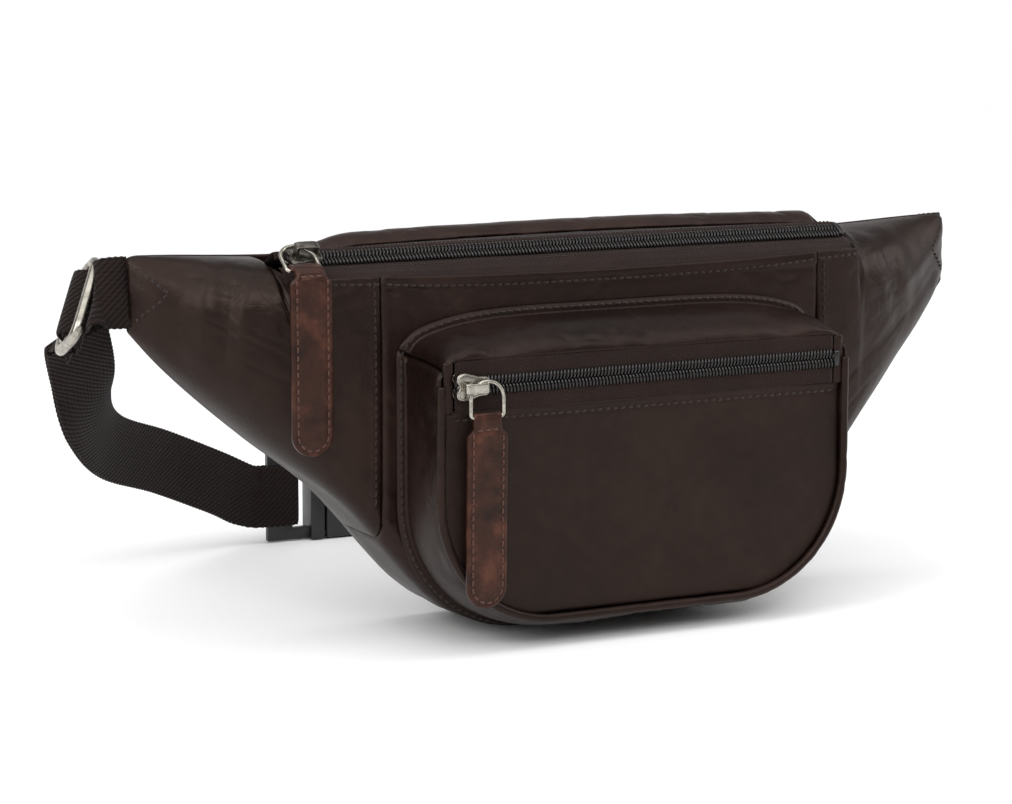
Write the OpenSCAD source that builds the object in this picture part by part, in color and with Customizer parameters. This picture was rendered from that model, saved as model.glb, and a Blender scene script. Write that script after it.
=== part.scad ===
// Waist pack: a leather bag with a zipped main compartment, a raised zipped front pocket,
// and an adjustable webbing belt closed by a side-release buckle.
// X runs along the waist, Y towards the wearer, Z up. The pack stands on z = 0.

/* [Bag body] */
// Distance from the bag's centre to the end of each wing
wing_reach = 171; // [160:1:180]
// Distance from the bag's centre to the seam between the front panel and a wing
panel_half = 90; // [89:1:94]
// Depth of the bag between the front panel's outside and the back panel
bag_depth = 38; // [34:1:42]
// Height of the back panel's top edge at the centre
back_height = 145; // [143:1:150]
// Height of the front panel's top edge at the centre
front_height = 130.5; // [128:0.5:132]
// Height of a wing's end
tip_height = 27; // [25:1:30]
// Thickness of the leather
leather_t = 1.6; // [1.2:0.1:2]
// Thickness of the cotton lining
lining_t = 0.6; // [0.4:0.1:0.8]

/* [Front pocket] */
// Half of the pocket face's width
pocket_half = 82.5; // [79:0.5:84]
// Distance of the pocket face's outside from the front panel
pocket_depth = 29; // [26:1:31]
// Height of the pocket face's lowest point
pocket_foot = 10; // [8:1:12]
// Radius of the pocket face's lower corners
pocket_corner = 45; // [38:1:50]
// How far the pocket's base is wider than its face, on each side
pocket_flare = 4; // [3:0.5:6]

/* [Zips] */
// Height of the pocket zip's chain
pocket_zip_z = 96; // [94:0.5:98]
// Width of one row of zip teeth
row_w = 2.4; // [2:0.1:2.6]
// Thickness of the zip tape
tape_t = 0.7; // [0.6:0.1:0.8]
// Width of each leather pull tab
tab_w = 15.5; // [14:0.5:16]
// Length of each leather pull tab below its ring
tab_len = 68; // [55:1:72]

/* [Belt] */
// Width of the belt webbing
belt_w = 26; // [25:0.5:27]
// Thickness of the belt webbing
belt_t = 1.4; // [1.2:0.1:1.6]
// Height of the buckle as it stands on its edge
buckle_h = 38; // [37:0.5:40]

/* [Hidden] */

leather = [0.20, 0.13, 0.115];
tan_leather = [0.36, 0.17, 0.13];
cotton = [0.24, 0.20, 0.18];
tape_brown = [0.22, 0.15, 0.13];
teeth_black = [0.09, 0.08, 0.08];
web_brown = [0.17, 0.12, 0.11];
nickel = [0.66, 0.64, 0.60];
gunmetal = [0.30, 0.30, 0.30];
plastic = [0.05, 0.05, 0.055];

gap = 0.3;              // left between panels that are sewn edge to edge
facets = 48;            // round metal parts
middle = [-4.6, 75.75]; // the whole part's middle, from the bag's centre line and its front

// --- general helpers ---

// Everything is drawn from the bag's centre line and the front panel's outside, then moved.
module placed() translate([-middle[0], -middle[1], 0]) children();

function mix(a, b, t) = a + (b - a) * t;
function ease(t) = let(c = max(0, min(1, t))) c * c * (3 - 2 * c);
function unit(v) = v / norm(v);

// A smooth curve through hand-placed points, with n steps between each two.
function spline_at(p0, p1, p2, p3, t) = 0.5 * (2 * p1 + (p2 - p0) * t
    + (2 * p0 - 5 * p1 + 4 * p2 - p3) * t * t + (3 * p1 - p0 - 3 * p2 + p3) * t * t * t);
function spline(p, n) = let(last = len(p) - 1) concat(
    [for (i = [0:last - 1], k = [0:n - 1])
        spline_at(p[max(0, i - 1)], p[i], p[i + 1], p[min(last, i + 2)], k / n)],
    [p[last]]);

// A closed sheet of thickness t on a grid of points, rows of equal length. It grows to the side
// that the rows' direction turned to the columns' direction points to by the right-hand rule.
function grid_normal(g, i, j) = let(
    a = g[min(len(g) - 1, i + 1)][j] - g[max(0, i - 1)][j],
    b = g[i][min(len(g[0]) - 1, j + 1)] - g[i][max(0, j - 1)]) unit(cross(a, b));
module sheet(g, t) {
    r = len(g);
    c = len(g[0]);
    n = r * c;
    outer = [for (i = [0:r - 1], j = [0:c - 1]) g[i][j]];
    inner = [for (i = [0:r - 1], j = [0:c - 1]) g[i][j] + grid_normal(g, i, j) * t];
    function at(i, j) = i * c + j;
    front = [for (i = [0:r - 2], j = [0:c - 2]) each
        [[at(i, j), at(i + 1, j), at(i, j + 1)], [at(i + 1, j), at(i + 1, j + 1), at(i, j + 1)]]];
    back = [for (f = front) [n + f[0], n + f[2], n + f[1]]];
    rim = concat([for (j = [0:c - 1]) at(0, j)], [for (i = [1:r - 1]) at(i, c - 1)],
                 [for (j = [c - 2:-1:0]) at(r - 1, j)], [for (i = [r - 2:-1:1]) at(i, 0)]);
    edge = [for (k = [0:len(rim) - 1]) let(p = rim[k], q = rim[(k + 1) % len(rim)])
        each [[p, q, n + q], [p, n + q, n + p]]];
    polyhedron(concat(outer, inner), concat(front, back, edge));
}

// A bar whose section, a ring of points at each station, is joined from first to last.
module swept(rings) {
    s = len(rings[0]);
    last = len(rings) - 1;
    polyhedron([for (r = rings) each r], concat(
        [[for (k = [0:s - 1]) k]],
        [for (i = [0:last - 1], k = [0:s - 1]) let(a = i * s + k, b = i * s + (k + 1) % s)
            each [[a, a + s, b], [b, a + s, b + s]]],
        [[for (k = [s - 1:-1:0]) last * s + k]]));
}

// A wire ring, straight at the foot and round at the head. The foot's axis is on X.
module wire_loop(half_w, height, wire) {
    leg = height - half_w;
    for (s = [-1, 1]) translate([s * half_w, 0, 0]) {
        sphere(d = wire, $fn = facets);
        cylinder(d = wire, h = leg, $fn = facets);
    }
    translate([-half_w, 0, 0]) rotate([0, 90, 0]) cylinder(d = wire, h = 2 * half_w, $fn = facets);
    translate([0, 0, leg]) rotate([90, 0, 0])
        rotate_extrude(angle = 180, $fn = facets) translate([half_w, 0]) circle(d = wire, $fn = facets);
}

// --- outlines of the bag ---

tip_low = 113;          // height of the lower edge at the wing's end
// Height of the bag's lower edge at distances from the centre line: flat at the foot, steep at
// the body's round corners, flatter along the wings.
low_edge = [[0, 0], [33, 0], [46, 1.5], [59, 6.5], [71, 15.5], [82, 27.5], [92, 39.5], [102, 50.5],
            [113, 60], [128, 71.5], [147, 88], [160, 100.5], [wing_reach, tip_low]];
function low_z(x) = lookup(abs(x), low_edge);

mouth_left = 122;       // the main zip's mouth reaches this far from the centre line
mouth_right = 111;
wing_dip = 138;         // height of a wing's top beside the mouth
back_fall = 2;          // the back's top edge is this much lower at the mouth's right end
drop_len = [32, 9];     // the back's top edge comes down to the wing over this length, each side
function back_top(x) = let(a = abs(x), side = x < 0 ? 0 : 1,
    mouth = side == 0 ? mouth_left - 6 : mouth_right - 3,
    mid = back_height - back_fall * pow(min(a, mouth_right) / mouth_right, 2))
    mix(mid, mix(wing_dip, tip_low + tip_height, ease((a - mouth_right) / (wing_reach - mouth_right))),
        ease((a - mouth + (side == 0 ? drop_len[0] : 0)) / drop_len[side]));
function lip_z(x) = front_height + 1.6 * pow(min(abs(x), panel_half) / panel_half, 2);

tip_t = 3.4;            // front of a wing's end to the back panel: leather and belt webbing
function front_y(x) = let(a = max(0, abs(x) - panel_half) / (wing_reach - panel_half))
    (bag_depth - tip_t) * pow(a, 2);
rear_y = bag_depth - 3.5;  // where the rear facing's roll is highest

// --- back panel and lining ---

panel_steps = 24;
function back_outline(inset) = let(reach = wing_reach - inset) concat(
    [for (k = [-panel_steps:panel_steps]) let(x = reach * k / panel_steps)
        [x, low_z(x) + inset]],
    [for (k = [panel_steps:-1:-panel_steps]) let(x = reach * k / panel_steps)
        [x, back_top(x) - inset]]);

back_t = 2;             // back panel: leather on a stiffener
module upright(y, t) translate([0, y + t, 0]) rotate([90, 0, 0]) linear_extrude(t) children();

module back_panel() color(leather) placed() upright(bag_depth, back_t) polygon(back_outline(0));

lining_inset = 9;
module back_lining() color(cotton) placed()
    upright(bag_depth - lining_t - gap, lining_t) polygon([
        for (p = back_outline(lining_inset)) if (abs(p[0]) < mouth_left + 5) p]);

// --- front panel and wings ---

belly = 0.8;            // how far the front panel swells out
heel_y = 9;             // depth and height of the turn at the panel's foot
heel_z = 11;
rows = 10;              // steps down a panel
heel_rows = 4;          // steps of the turn at its foot

// A panel's outside at x, from its top edge down, round the foot and back to the back panel.
function skin(x, y_top, z_top, in) = let(
    yf = front_y(x), deep = bag_depth - yf, hy = min(heel_y, deep * 0.45), hz = min(heel_z, deep * 0.6),
    zl = low_z(x), swell = belly * deep / bag_depth, z_heel = zl + hz) concat(
    [for (k = [0:rows]) let(t = k / rows, over = ease(min(1, t / 0.45)))
        [x, mix(y_top, yf - swell * sin(180 * t), over) + in, mix(z_top, z_heel, t)]],
    [for (k = [1:heel_rows]) let(a = 90 * k / heel_rows)
        [x, yf + hy * (1 - cos(a)) + in * cos(a), z_heel - (hz - in) * sin(a)]],
    [[x, bag_depth - gap, zl + in]]);

function panel_grid(xs, top_drop, in) = [for (x = xs) skin(x, front_y(x), lip_z(x) - top_drop, in)];
function span(a, b, n) = [for (k = [0:n]) mix(a, b, k / n)];

module front_panel() color(leather) placed()
    sheet(panel_grid(span(-panel_half + gap, panel_half - gap, 10), 0, 0), leather_t);

module front_lining() color(cotton) placed()
    sheet(panel_grid(span(-panel_half + 6, panel_half - 6, 8), 6, 2 * leather_t + gap), lining_t);

// Beside the mouth a wing starts at the lip; beyond it, at the back panel's top edge.
wing_crown = 1.5;
module wing(mouth) {
    inner_xs = span(panel_half + gap, mouth - 3, 3);
    outer_xs = concat([mouth + 1], span(mouth + 5, wing_reach, 8));
    sheet(concat(
        [for (x = inner_xs) skin(x, front_y(x), lip_z(x), 0)],
        [for (x = outer_xs) let(open = ease((x - mouth) / 6))
            skin(x, mix(front_y(x), bag_depth - gap - leather_t, open),
                 mix(lip_z(x), back_top(x) - wing_crown, open), 0)]), leather_t);
}
module wing_right() color(leather) placed() wing(mouth_right);
module wing_left() color(leather) placed() mirror([1, 0, 0]) wing(mouth_left);

// Leather facing between the rear zip tape and the back panel's top edge.
facing_drop = 2.2;
facing_lean = 1.2;      // its front edge is this much lower than its roll
module rear_facing() color(leather) placed()
    sheet([for (x = span(-mouth_left + 6, mouth_right - 3, 18))
        [[x, rear_y - 4.5, back_top(x) - facing_drop - facing_lean],
         [x, rear_y - 0.5, back_top(x) - facing_drop],
         [x, bag_depth - gap, back_top(x) - facing_drop + 0.6]]], leather_t);

// --- main zip ---

main_y = 14;            // the main zip's chain runs straight along X here: top of its teeth
main_z = 138.6;
main_tilt = 34;         // the chain leans towards the front
row_h = 2.4;            // thickness of the rows of teeth
slit = 0.7;             // half of the gap between the two rows
zip_from = -119;
zip_to = 107;
tape_drop = 1;          // the tapes lie this far under the top of the teeth

module at_main(x) translate([x, main_y, main_z]) rotate([main_tilt, 0, 0]) children();

// Points of a tape at x: in the chain's plane from beside the teeth to clear of the slider, then
// straight to the edge that is sewn.
in_reach = slit + row_w + gap;
flat_reach = 5.6;
function beside_chain(x, side, d) = [x,
    main_y + side * d * cos(main_tilt) + tape_drop * sin(main_tilt),
    main_z + side * d * sin(main_tilt) - tape_drop * cos(main_tilt)];
function tape_row(x, side, y_out, z_out) = let(
    a = beside_chain(x, side, in_reach), b = beside_chain(x, side, flat_reach), c = [x, y_out, z_out])
    [a, b, mix(b, c, 0.5), c];
tape_xs = span(zip_to, zip_from, 14);

tape_seam = 0.5;        // the front tape stands clear of the lip's inside by a gap and this much
module main_tape_front() color(tape_brown) placed()
    sheet([for (x = tape_xs)
        tape_row(x, -1, front_y(x) + leather_t + gap + tape_seam, lip_z(x) - 1.2)], -tape_t);

module main_tape_rear() color(tape_brown) placed()
    sheet([for (x = tape_xs)
        tape_row(x, 1, rear_y - 5.2, back_top(x) - facing_drop - facing_lean - 0.8)], tape_t);

// One row of teeth, as a bar beside the slit.
module teeth(from, to) translate([from, slit, -row_h]) cube([to - from, row_w, row_h]);

module main_teeth_front() color(teeth_black) placed() at_main(0)
    mirror([0, 1, 0]) teeth(zip_from, zip_to);
module main_teeth_rear() color(teeth_black) placed() at_main(0) teeth(zip_from, zip_to);

stop_len = 2;
module end_stop() translate([gap, -slit - row_w, -row_h])
    cube([stop_len, 2 * (slit + row_w), row_h + 0.4]);
module main_end_stop() color(teeth_black) placed() at_main(zip_to) end_stop();

// --- slider, ring and tab, with the chain on X and z = 0 on top of its teeth ---

slider_len = 12.5;
slider_w = 9.6;
neck_w = 6.4;
plate_t = 1.2;
plate_gap = 0.25;
bridge_x = 3.4;         // the bridge's feet stand this far from the slider's centre
foot_d = 1.6;
bridge_z = 4.9;         // underside of the bridge
bridge_t = 1;
bridge_w = 3.4;
wire = 1.5;
ring_z = 3.6;           // the ring lies at this height under the bridge
ring_half = 6.3;
ring_len = 12.5;
ring_bar = -10.5;       // the ring's straight foot, from the slider's centre line
ring_shift = 4.3;       // the ring's middle is this far to one side of the slider's

// Wide at the end where the zip parts, and narrow at the other.
module plate(t) linear_extrude(t) hull() {
    translate([-slider_len / 2 + slider_w / 2, 0]) circle(d = slider_w, $fn = facets);
    translate([slider_len / 2 - 1, -neck_w / 2]) square([1, neck_w]);
}
module slider() {
    translate([0, 0, plate_gap]) plate(plate_t);
    translate([0, 0, -row_h - plate_gap - plate_t]) plate(plate_t);
    post = 2 * slit - 0.4;
    translate([-slider_len / 2 + 1, -post / 2, -row_h - plate_gap - plate_t / 2])
        cube([3, post, row_h + 2 * plate_gap + plate_t]);
    for (s = [-1, 1]) translate([s * bridge_x, 0, plate_gap + plate_t / 2])
        cylinder(d = foot_d, h = bridge_z + bridge_t - plate_gap - plate_t, $fn = facets);
    translate([-bridge_x - foot_d / 2, -bridge_w / 2, bridge_z])
        cube([2 * bridge_x + foot_d, bridge_w, bridge_t]);
}
module ring(side) translate([side * ring_shift, ring_bar, 0]) rotate([-90, 0, 0])
    wire_loop(ring_half, ring_len, wire);

eye_play = 0.06;        // radial play of the tab's eye on the ring
eye_r = 2.3;
eye_w = 2 * ring_half - wire - 0.5;
tab_t = 2.6;
shoulder = 3.5;         // below the eye the tab widens over this length

// Outline of a tab hanging from its eye.
module tab_outline(len) {
    translate([-tab_w / 2, -len + tab_w / 2]) square([tab_w, len - tab_w / 2 - 2 * shoulder]);
    translate([0, -len + tab_w / 2]) circle(d = tab_w, $fn = 2 * facets);
    polygon([[-tab_w / 2, -2 * shoulder], [tab_w / 2, -2 * shoulder],
             [eye_w / 2, -shoulder], [-eye_w / 2, -shoulder]]);
}
module hanging(t) translate([0, t / 2, 0]) rotate([90, 0, 0]) linear_extrude(t) children();
module eye() rotate([0, 90, 0]) difference() {
    cylinder(r = eye_r, h = eye_w, center = true, $fn = facets);
    cylinder(r = wire / 2 + eye_play, h = eye_w + 1, center = true, $fn = facets);
}
module eye_bore() rotate([0, 90, 0])
    cylinder(r = wire / 2 + eye_play, h = eye_w + 1, center = true, $fn = facets);

// --- main slider ---

main_x = -113.2;        // the main slider stands here with the zip closed
ring_dip = 36;          // the main ring slopes down to the front

main_pivot = [main_x - bridge_x, main_y - ring_z * sin(main_tilt), main_z + ring_z * cos(main_tilt)];
module at_main_ring() translate([main_x, main_pivot[1], main_pivot[2]])
    rotate([ring_dip, 0, 0]) children();
main_eye = [main_x - ring_shift, main_pivot[1] + ring_bar * cos(ring_dip),
            main_pivot[2] + ring_bar * sin(ring_dip)];

module main_slider() color(gunmetal) placed() at_main(main_x) slider();
module main_ring() color(nickel) placed() at_main_ring() ring(-1);

// The tab lies over the mouth's lip, then hangs down the wing.
tab_front = 6;          // from the eye's axis forward to the hanging part's middle
module main_tab() color(tan_leather) placed() translate(main_eye) {
    difference() {
        union() {
            rotate([0, 90, 0]) cylinder(r = eye_r, h = eye_w, center = true, $fn = facets);
            translate([-eye_w / 2, -tab_front, -tab_t / 2]) cube([eye_w, tab_front, tab_t]);
        }
        eye_bore();
    }
    translate([0, -tab_front, 0]) rotate([0, 90, 0])
        cylinder(d = tab_t, h = eye_w, center = true, $fn = facets);
    translate([0, -tab_front, 0]) hanging(tab_t) {
        translate([-eye_w / 2, -shoulder]) square([eye_w, shoulder]);
        tab_outline(tab_len - tab_front / 2);
    }
}

// --- front pocket ---

pocket_x = 1.5;         // the pocket sits a little to one side of the bag's middle
face_top = pocket_zip_z - 8.5;      // lower edge of the zip's window
window_top = pocket_zip_z + 8.5;    // its upper edge
base_top = 119;         // height of the pocket's sewn edge at its top
base_foot = 1.5;        // and at its foot
base_y = -belly - 0.6;  // the sewn edge lies on the front panel here
face_y = -pocket_depth;
round_steps = 7;
side_steps = 3;

// Half of a U from the top of one side to the middle of the foot: half width, top, foot, round.
function half_u(w, top, foot, r) = concat(
    [for (k = [0:side_steps - 1]) [w, mix(top, foot + r, k / side_steps)]],
    [for (k = [0:round_steps]) let(a = 90 * k / round_steps)
        [w - r + r * cos(a), foot + r - r * sin(a)]]);
function full_u(w, top, foot, r) = let(h = half_u(w, top, foot, r)) concat(
    [for (p = h) [-p[0], p[1]]], [[0, foot]], [for (k = [len(h) - 1:-1:0]) h[k]]);

module pocket_face() color(leather) placed() translate([pocket_x, 0, 0])
    upright(face_y, leather_t) polygon(full_u(pocket_half - 2.2, face_top, pocket_foot + 2.2,
        pocket_corner - 2.2));

// The band from the sewn edge on the front panel out to the piping, round the sides and foot.
band_steps = 4;
base_half = pocket_half + pocket_flare;
module pocket_gusset() color(leather) placed() translate([pocket_x, 0, 0]) {
    base = full_u(base_half, base_top - 12, base_foot, pocket_corner + 4);
    rim = full_u(pocket_half, window_top - 4, pocket_foot, pocket_corner);
    sheet([for (k = [0:len(base) - 1]) [for (j = [0:band_steps]) let(t = j / band_steps,
        out = sin(90 * t), p = mix(base[k], rim[k], 1 - cos(90 * t)))
        [p[0], mix(base_y, face_y + 1.4, out), p[1]]]], -leather_t);
}

// The top of the pocket, from its sewn edge down to the zip, closed to the gusset at its ends.
module pocket_top_panel() color(leather) placed() translate([pocket_x, 0, 0]) {
    corner = 14;
    sheet([for (x = span(-1, 1, 12)) let(round_off = pow(abs(x), 6), side = x * (base_half - 3.5))
        [for (j = [0:band_steps]) let(t = j / band_steps)
            [mix(side, x * (pocket_half - 2.5), t),
             mix(base_y, face_y + 0.4, sin(90 * t)),
             mix(base_top - corner * 0.6 * round_off, window_top + gap, 1 - cos(90 * t))]]], leather_t);
}

piping_r = 1.7;
module pocket_piping() color(leather) placed() {
    path = [for (p = full_u(pocket_half - 0.2, window_top - 5, pocket_foot + 0.2, pocket_corner))
        [p[0] + pocket_x, face_y - 0.6, p[1]]];
    swept([for (i = [0:len(path) - 1]) let(
        t = unit(path[min(len(path) - 1, i + 1)] - path[max(0, i - 1)]), side = cross(t, [0, 1, 0]))
        [for (k = [0:7]) path[i] + piping_r * (cos(45 * k) * side + sin(45 * k) * [0, 1, 0])]]);
}

module pocket_lining() color(cotton) placed() translate([pocket_x, 0, 0])
    upright(base_y - lining_t, lining_t) polygon(full_u(base_half - 8, base_top - 14, 22, pocket_corner));

// --- pocket zip ---

pocket_teeth_y = face_y - 1.6;      // top of the pocket's teeth
pocket_zip_half = 77;
module at_pocket(x) translate([x, pocket_teeth_y, pocket_zip_z]) rotate([90, 0, 0]) children();
module pocket_tape() translate([-pocket_zip_half, in_reach, -row_h])
    cube([2 * pocket_zip_half, 8.5 - in_reach - 0.5, tape_t]);

module pocket_tape_upper() color(tape_brown) placed() at_pocket(pocket_x) pocket_tape();
module pocket_tape_lower() color(tape_brown) placed() at_pocket(pocket_x)
    mirror([0, 1, 0]) pocket_tape();
module pocket_teeth_upper() color(teeth_black) placed() at_pocket(pocket_x)
    teeth(-pocket_zip_half, pocket_zip_half);
module pocket_teeth_lower() color(teeth_black) placed() at_pocket(pocket_x)
    mirror([0, 1, 0]) teeth(-pocket_zip_half, pocket_zip_half);
module pocket_end_stop() color(teeth_black) placed()
    at_pocket(pocket_x + pocket_zip_half) end_stop();

slider_x = pocket_x - 71;           // the pocket slider stands here with the zip closed
pocket_lean = 1;                    // its tab leans back to the pocket's face
pocket_eye = [slider_x + ring_shift, pocket_teeth_y - ring_z, pocket_zip_z + ring_bar];
module pocket_slider() color(nickel) placed() at_pocket(slider_x) slider();
module pocket_ring() color(nickel) placed() at_pocket(slider_x) translate([0, 0, ring_z]) ring(1);
module pocket_tab() color(tan_leather) placed() translate(pocket_eye) rotate([pocket_lean, 0, 0])
    difference() {
        union() {
            rotate([0, 90, 0]) cylinder(r = eye_r, h = eye_w, center = true, $fn = facets);
            hanging(tab_t) {
                translate([-eye_w / 2, -shoulder]) square([eye_w, shoulder]);
                tab_outline(tab_len);
            }
        }
        eye_bore();
    }

// --- belt ---

// A webbing strap along stations of [point, direction across its width].
function station_dir(st, i) = unit(st[min(len(st) - 1, i + 1)][0] - st[max(0, i - 1)][0]);
function station_across(st, i) = let(t = station_dir(st, i), a = st[i][1]) unit(a - t * (a * t));
function station_out(st, i) = cross(station_across(st, i), station_dir(st, i));
module strap(st) swept([for (i = [0:len(st) - 1]) let(
    p = st[i][0], a = station_across(st, i) * belt_w / 2, n = station_out(st, i) * belt_t / 2)
    [p + a + n, p + a - n, p - a - n, p - a + n]]);

belt_steps = 8;
buckle_y = 183;         // the buckle stands on its edge this far behind the front panel
buckle_z = buckle_h / 2;
// Hand-laid route of the belt's left half, from the wing's end to the buckle, with the direction
// across the webbing at each point.
left_route = [
    [[-161, 37.1, 126], [0, 0, 1]], [[-171, 37.2, 126], [0, 0, 1]],
    [[-180, 42, 124.5], [0.2, 0, 0.98]], [[-184, 51, 121], [0.4, 0, 0.92]],
    [[-181, 66, 112], [0.58, -0.25, 0.75]], [[-173, 82, 93], [0.6, -0.35, 0.72]],
    [[-165, 101, 73], [0.4, -0.2, 0.9]], [[-148, 128, 56], [0.15, -0.05, 1]],
    [[-118, 155, 43], [0.05, 0, 1]], [[-88, 173.5, 29], [0, 0, 1]],
    [[-71, 181.8, 20.5], [0, 0, 1]], [[-61, buckle_y, buckle_z], [0, 0, 1]],
    [[-50, buckle_y, buckle_z], [0, 0, 1]]];
left_line = let(p = spline([for (r = left_route) r[0]], belt_steps),
    a = spline([for (r = left_route) r[1]], belt_steps)) [for (i = [0:len(p) - 1]) [p[i], a[i]]];

// Tri-glide: a frame of wire round two slots, with a bar between them.
glide_at = 3 * belt_steps;      // the station that it sits at
glide_o = left_line[glide_at][0];
glide_t = station_dir(left_line, glide_at);
glide_a = station_across(left_line, glide_at);
glide_n = station_out(left_line, glide_at);
glide_wire = 4;
glide_bar = 3;
glide_half = 15.5;      // the frame's wires, from its middle, across the belt
glide_reach = 10;       // and along it
glide_round = 5;

// Draws in the tri-glide's own axes: x across the belt, y along it, z out of it.
module at_glide() multmatrix([for (k = [0:2]) [glide_a[k], glide_t[k], glide_n[k], glide_o[k]]])
    children();

module tri_glide() color(nickel) placed() at_glide() {
    side = glide_half - glide_round;
    end = glide_reach - glide_round;
    for (s = [-1, 1]) {
        translate([-side, s * glide_reach, 0]) rotate([0, 90, 0])
            cylinder(d = glide_wire, h = 2 * side, $fn = facets);
        translate([s * glide_half, end, 0]) rotate([90, 0, 0])
            cylinder(d = glide_wire, h = 2 * end, $fn = facets);
        for (e = [-1, 1]) translate([s * side, e * end, 0])
            rotate([0, 0, s > 0 ? (e > 0 ? 0 : 270) : (e > 0 ? 90 : 180)])
                rotate_extrude(angle = 90, $fn = facets)
                    translate([glide_round, 0]) circle(d = glide_wire, $fn = facets);
    }
    translate([-glide_half, 0, 0]) rotate([0, 90, 0])
        cylinder(d = glide_bar, h = 2 * glide_half, $fn = facets);
}

// The belt passes under the frame's wires and over its bar.
wrap_r = glide_bar / 2 + 0.2 + belt_t / 2;          // middle of the layer sewn round the bar
over_bar = wrap_r + belt_t + 0.5;
under_frame = glide_wire / 2 + belt_t / 2 + 1.1;
weave_end = 16;
function weave(d) = let(a = abs(d)) a > weave_end ? 0
    : a > glide_reach ? -under_frame * (1 - ease((a - glide_reach) / (weave_end - glide_reach)))
    : (over_bar - under_frame) / 2 + (over_bar + under_frame) / 2 * cos(180 * a / glide_reach);
function glide_d(p) = (p - glide_o) * glide_t;

// From the tri-glide the belt runs to the buckle, over its bar and back, as a second layer.
behind = 80;            // the belt's free run lies further back than this
ply = belt_t + 0.4;     // distance between the layers
loop_r = 2.4;           // round of the loop over a buckle's bar
part_len = 22;          // the layers part over this length
left_bar = [-50, buckle_y];
function at_bar(p) = p[1] < behind ? 0 : ease((p[0] - left_bar[0] + 11 + part_len) / part_len);
function first_layer(p) = mix(0, loop_r, at_bar(p));
function second_layer(p) = -mix(ply, loop_r, at_bar(p));
function offset_line(i, off) = left_line[i][0] + station_out(left_line, i) * off;
// Near the tri-glide the belt runs straight along it, at the distance d_out from its middle.
function by_glide(i, off, d_out) = let(p = left_line[i][0], d = glide_d(p),
    near = p[1] < behind ? 1 - ease((abs(d) - glide_reach - 1) / (d > 0 ? 8 : 4.5)) : 0)
    [mix(offset_line(i, off), glide_o + d * glide_t + d_out * glide_n, near),
     unit(mix(station_across(left_line, i), glide_a, near))];

function turn(c, side) = [for (k = [1:5]) let(a = 30 * k)
    [[c[0] + side * loop_r * sin(a), c[1] + loop_r * cos(a), buckle_z], [0, 0, 1]]];

module belt_left() color(web_brown) placed() {
    last = len(left_line) - 1;
    first = [for (i = [0:last]) let(p = left_line[i][0])
        by_glide(i, first_layer(p), weave(glide_d(p)))];
    second = [for (i = [last:-1:wrap_to + 2]) let(s = left_line[i])
        [offset_line(i, second_layer(s[0])), station_across(left_line, i)]];
    strap(concat(first, turn(left_bar, 1), second));
}

// The belt's end goes round the tri-glide's bar and lies under the first layer, to wrap_to.
wrap_to = glide_at + belt_steps;
module belt_end_wrap() color(web_brown) placed() {
    round_bar = [for (a = [60:30:270]) glide_o + wrap_r * (cos(a) * glide_t + sin(a) * glide_n)];
    under = [for (i = [glide_at + 3:wrap_to]) let(d = glide_d(left_line[i][0]),
        steep = 1 - ease((d - glide_reach + 2) / 4))
        by_glide(i, -ply, weave(d) - ply * (1.15 + 0.5 * steep))];
    strap(concat([for (p = round_bar) [p, glide_a]], under));
}

right_bar = [8, buckle_y];
right_route = [
    [[36, buckle_y, buckle_z], [0, 0, 1]], [[60, 181, 21], [0, 0, 1]], [[90, 172, 29], [0, 0, 1]],
    [[122, 152, 43], [-0.05, 0, 1]], [[150, 126, 60], [-0.15, -0.05, 1]],
    [[167, 99, 82], [-0.3, -0.1, 0.9]], [[176, 74, 104], [-0.3, -0.1, 0.9]],
    [[180, 54, 120], [-0.15, 0, 1]], [[178, 42, 126], [0, 0, 1]], [[171, 37.2, 127], [0, 0, 1]],
    [[161, 37.1, 127], [0, 0, 1]]];
module belt_right() color(web_brown) placed() {
    p = spline([for (r = right_route) r[0]], belt_steps);
    a = spline([for (r = right_route) r[1]], belt_steps);
    strap([for (i = [0:len(p) - 1]) [p[i], a[i]]]);
}
module belt_right_loop() color(web_brown) placed() {
    run = [for (k = [0:4]) k / 4];
    far = [right_route[0][0][0] - 1.2, buckle_y];
    layer = function (s) [for (t = run)
        [[mix(far[0], right_bar[0], t), mix(far[1] + s * ply / 2, right_bar[1] + s * loop_r, ease(t)),
          buckle_z], [0, 0, 1]]];
    strap(concat([for (q = layer(1)) q], turn(right_bar, -1), [for (k = [4:-1:0]) layer(-1)[k]]));
}

// --- buckle, standing on its edge ---

bar_t = 3;              // bars that the belt goes over
shell_t = 10;
shell_wall = 2;
rail = 5;               // edge beside a slot
male_from = -61;
male_slot_to = -43;
male_to = -37;
shell_from = -36;
shell_solid = -4;       // the shell is solid from here to its slot
shell_slot = [2, right_bar[0]];
shell_to = 12;
window = [-28, -13];    // openings in the shell's edges, for the prongs' pads

module edge_on(y, t) translate([0, y + t / 2, 0]) rotate([90, 0, 0]) linear_extrude(t) children();

prong_t = 5;
prong_from = male_to + 2.6;
prong_z = 7.5;          // a prong's pivot, from the buckle's middle
prong_len = 20;
pivot_r = 2;
module prong(side) translate([prong_from, buckle_y, buckle_z + side * prong_z])
    mirror([0, 0, side > 0 ? 0 : 1]) {
        rotate([90, 0, 0]) cylinder(r = pivot_r, h = prong_t, center = true, $fn = facets);
        edge_on(0, prong_t) polygon([[0, -1.6], [0, 1.6], [5, 3.4], [8, 8.6], [14, 8.6],
            [prong_len, 4], [prong_len, 0.6], [6, 0.2]]);
    }
module buckle_prong_upper() color(plastic) placed() prong(1);
module buckle_prong_lower() color(plastic) placed() prong(-1);

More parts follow.
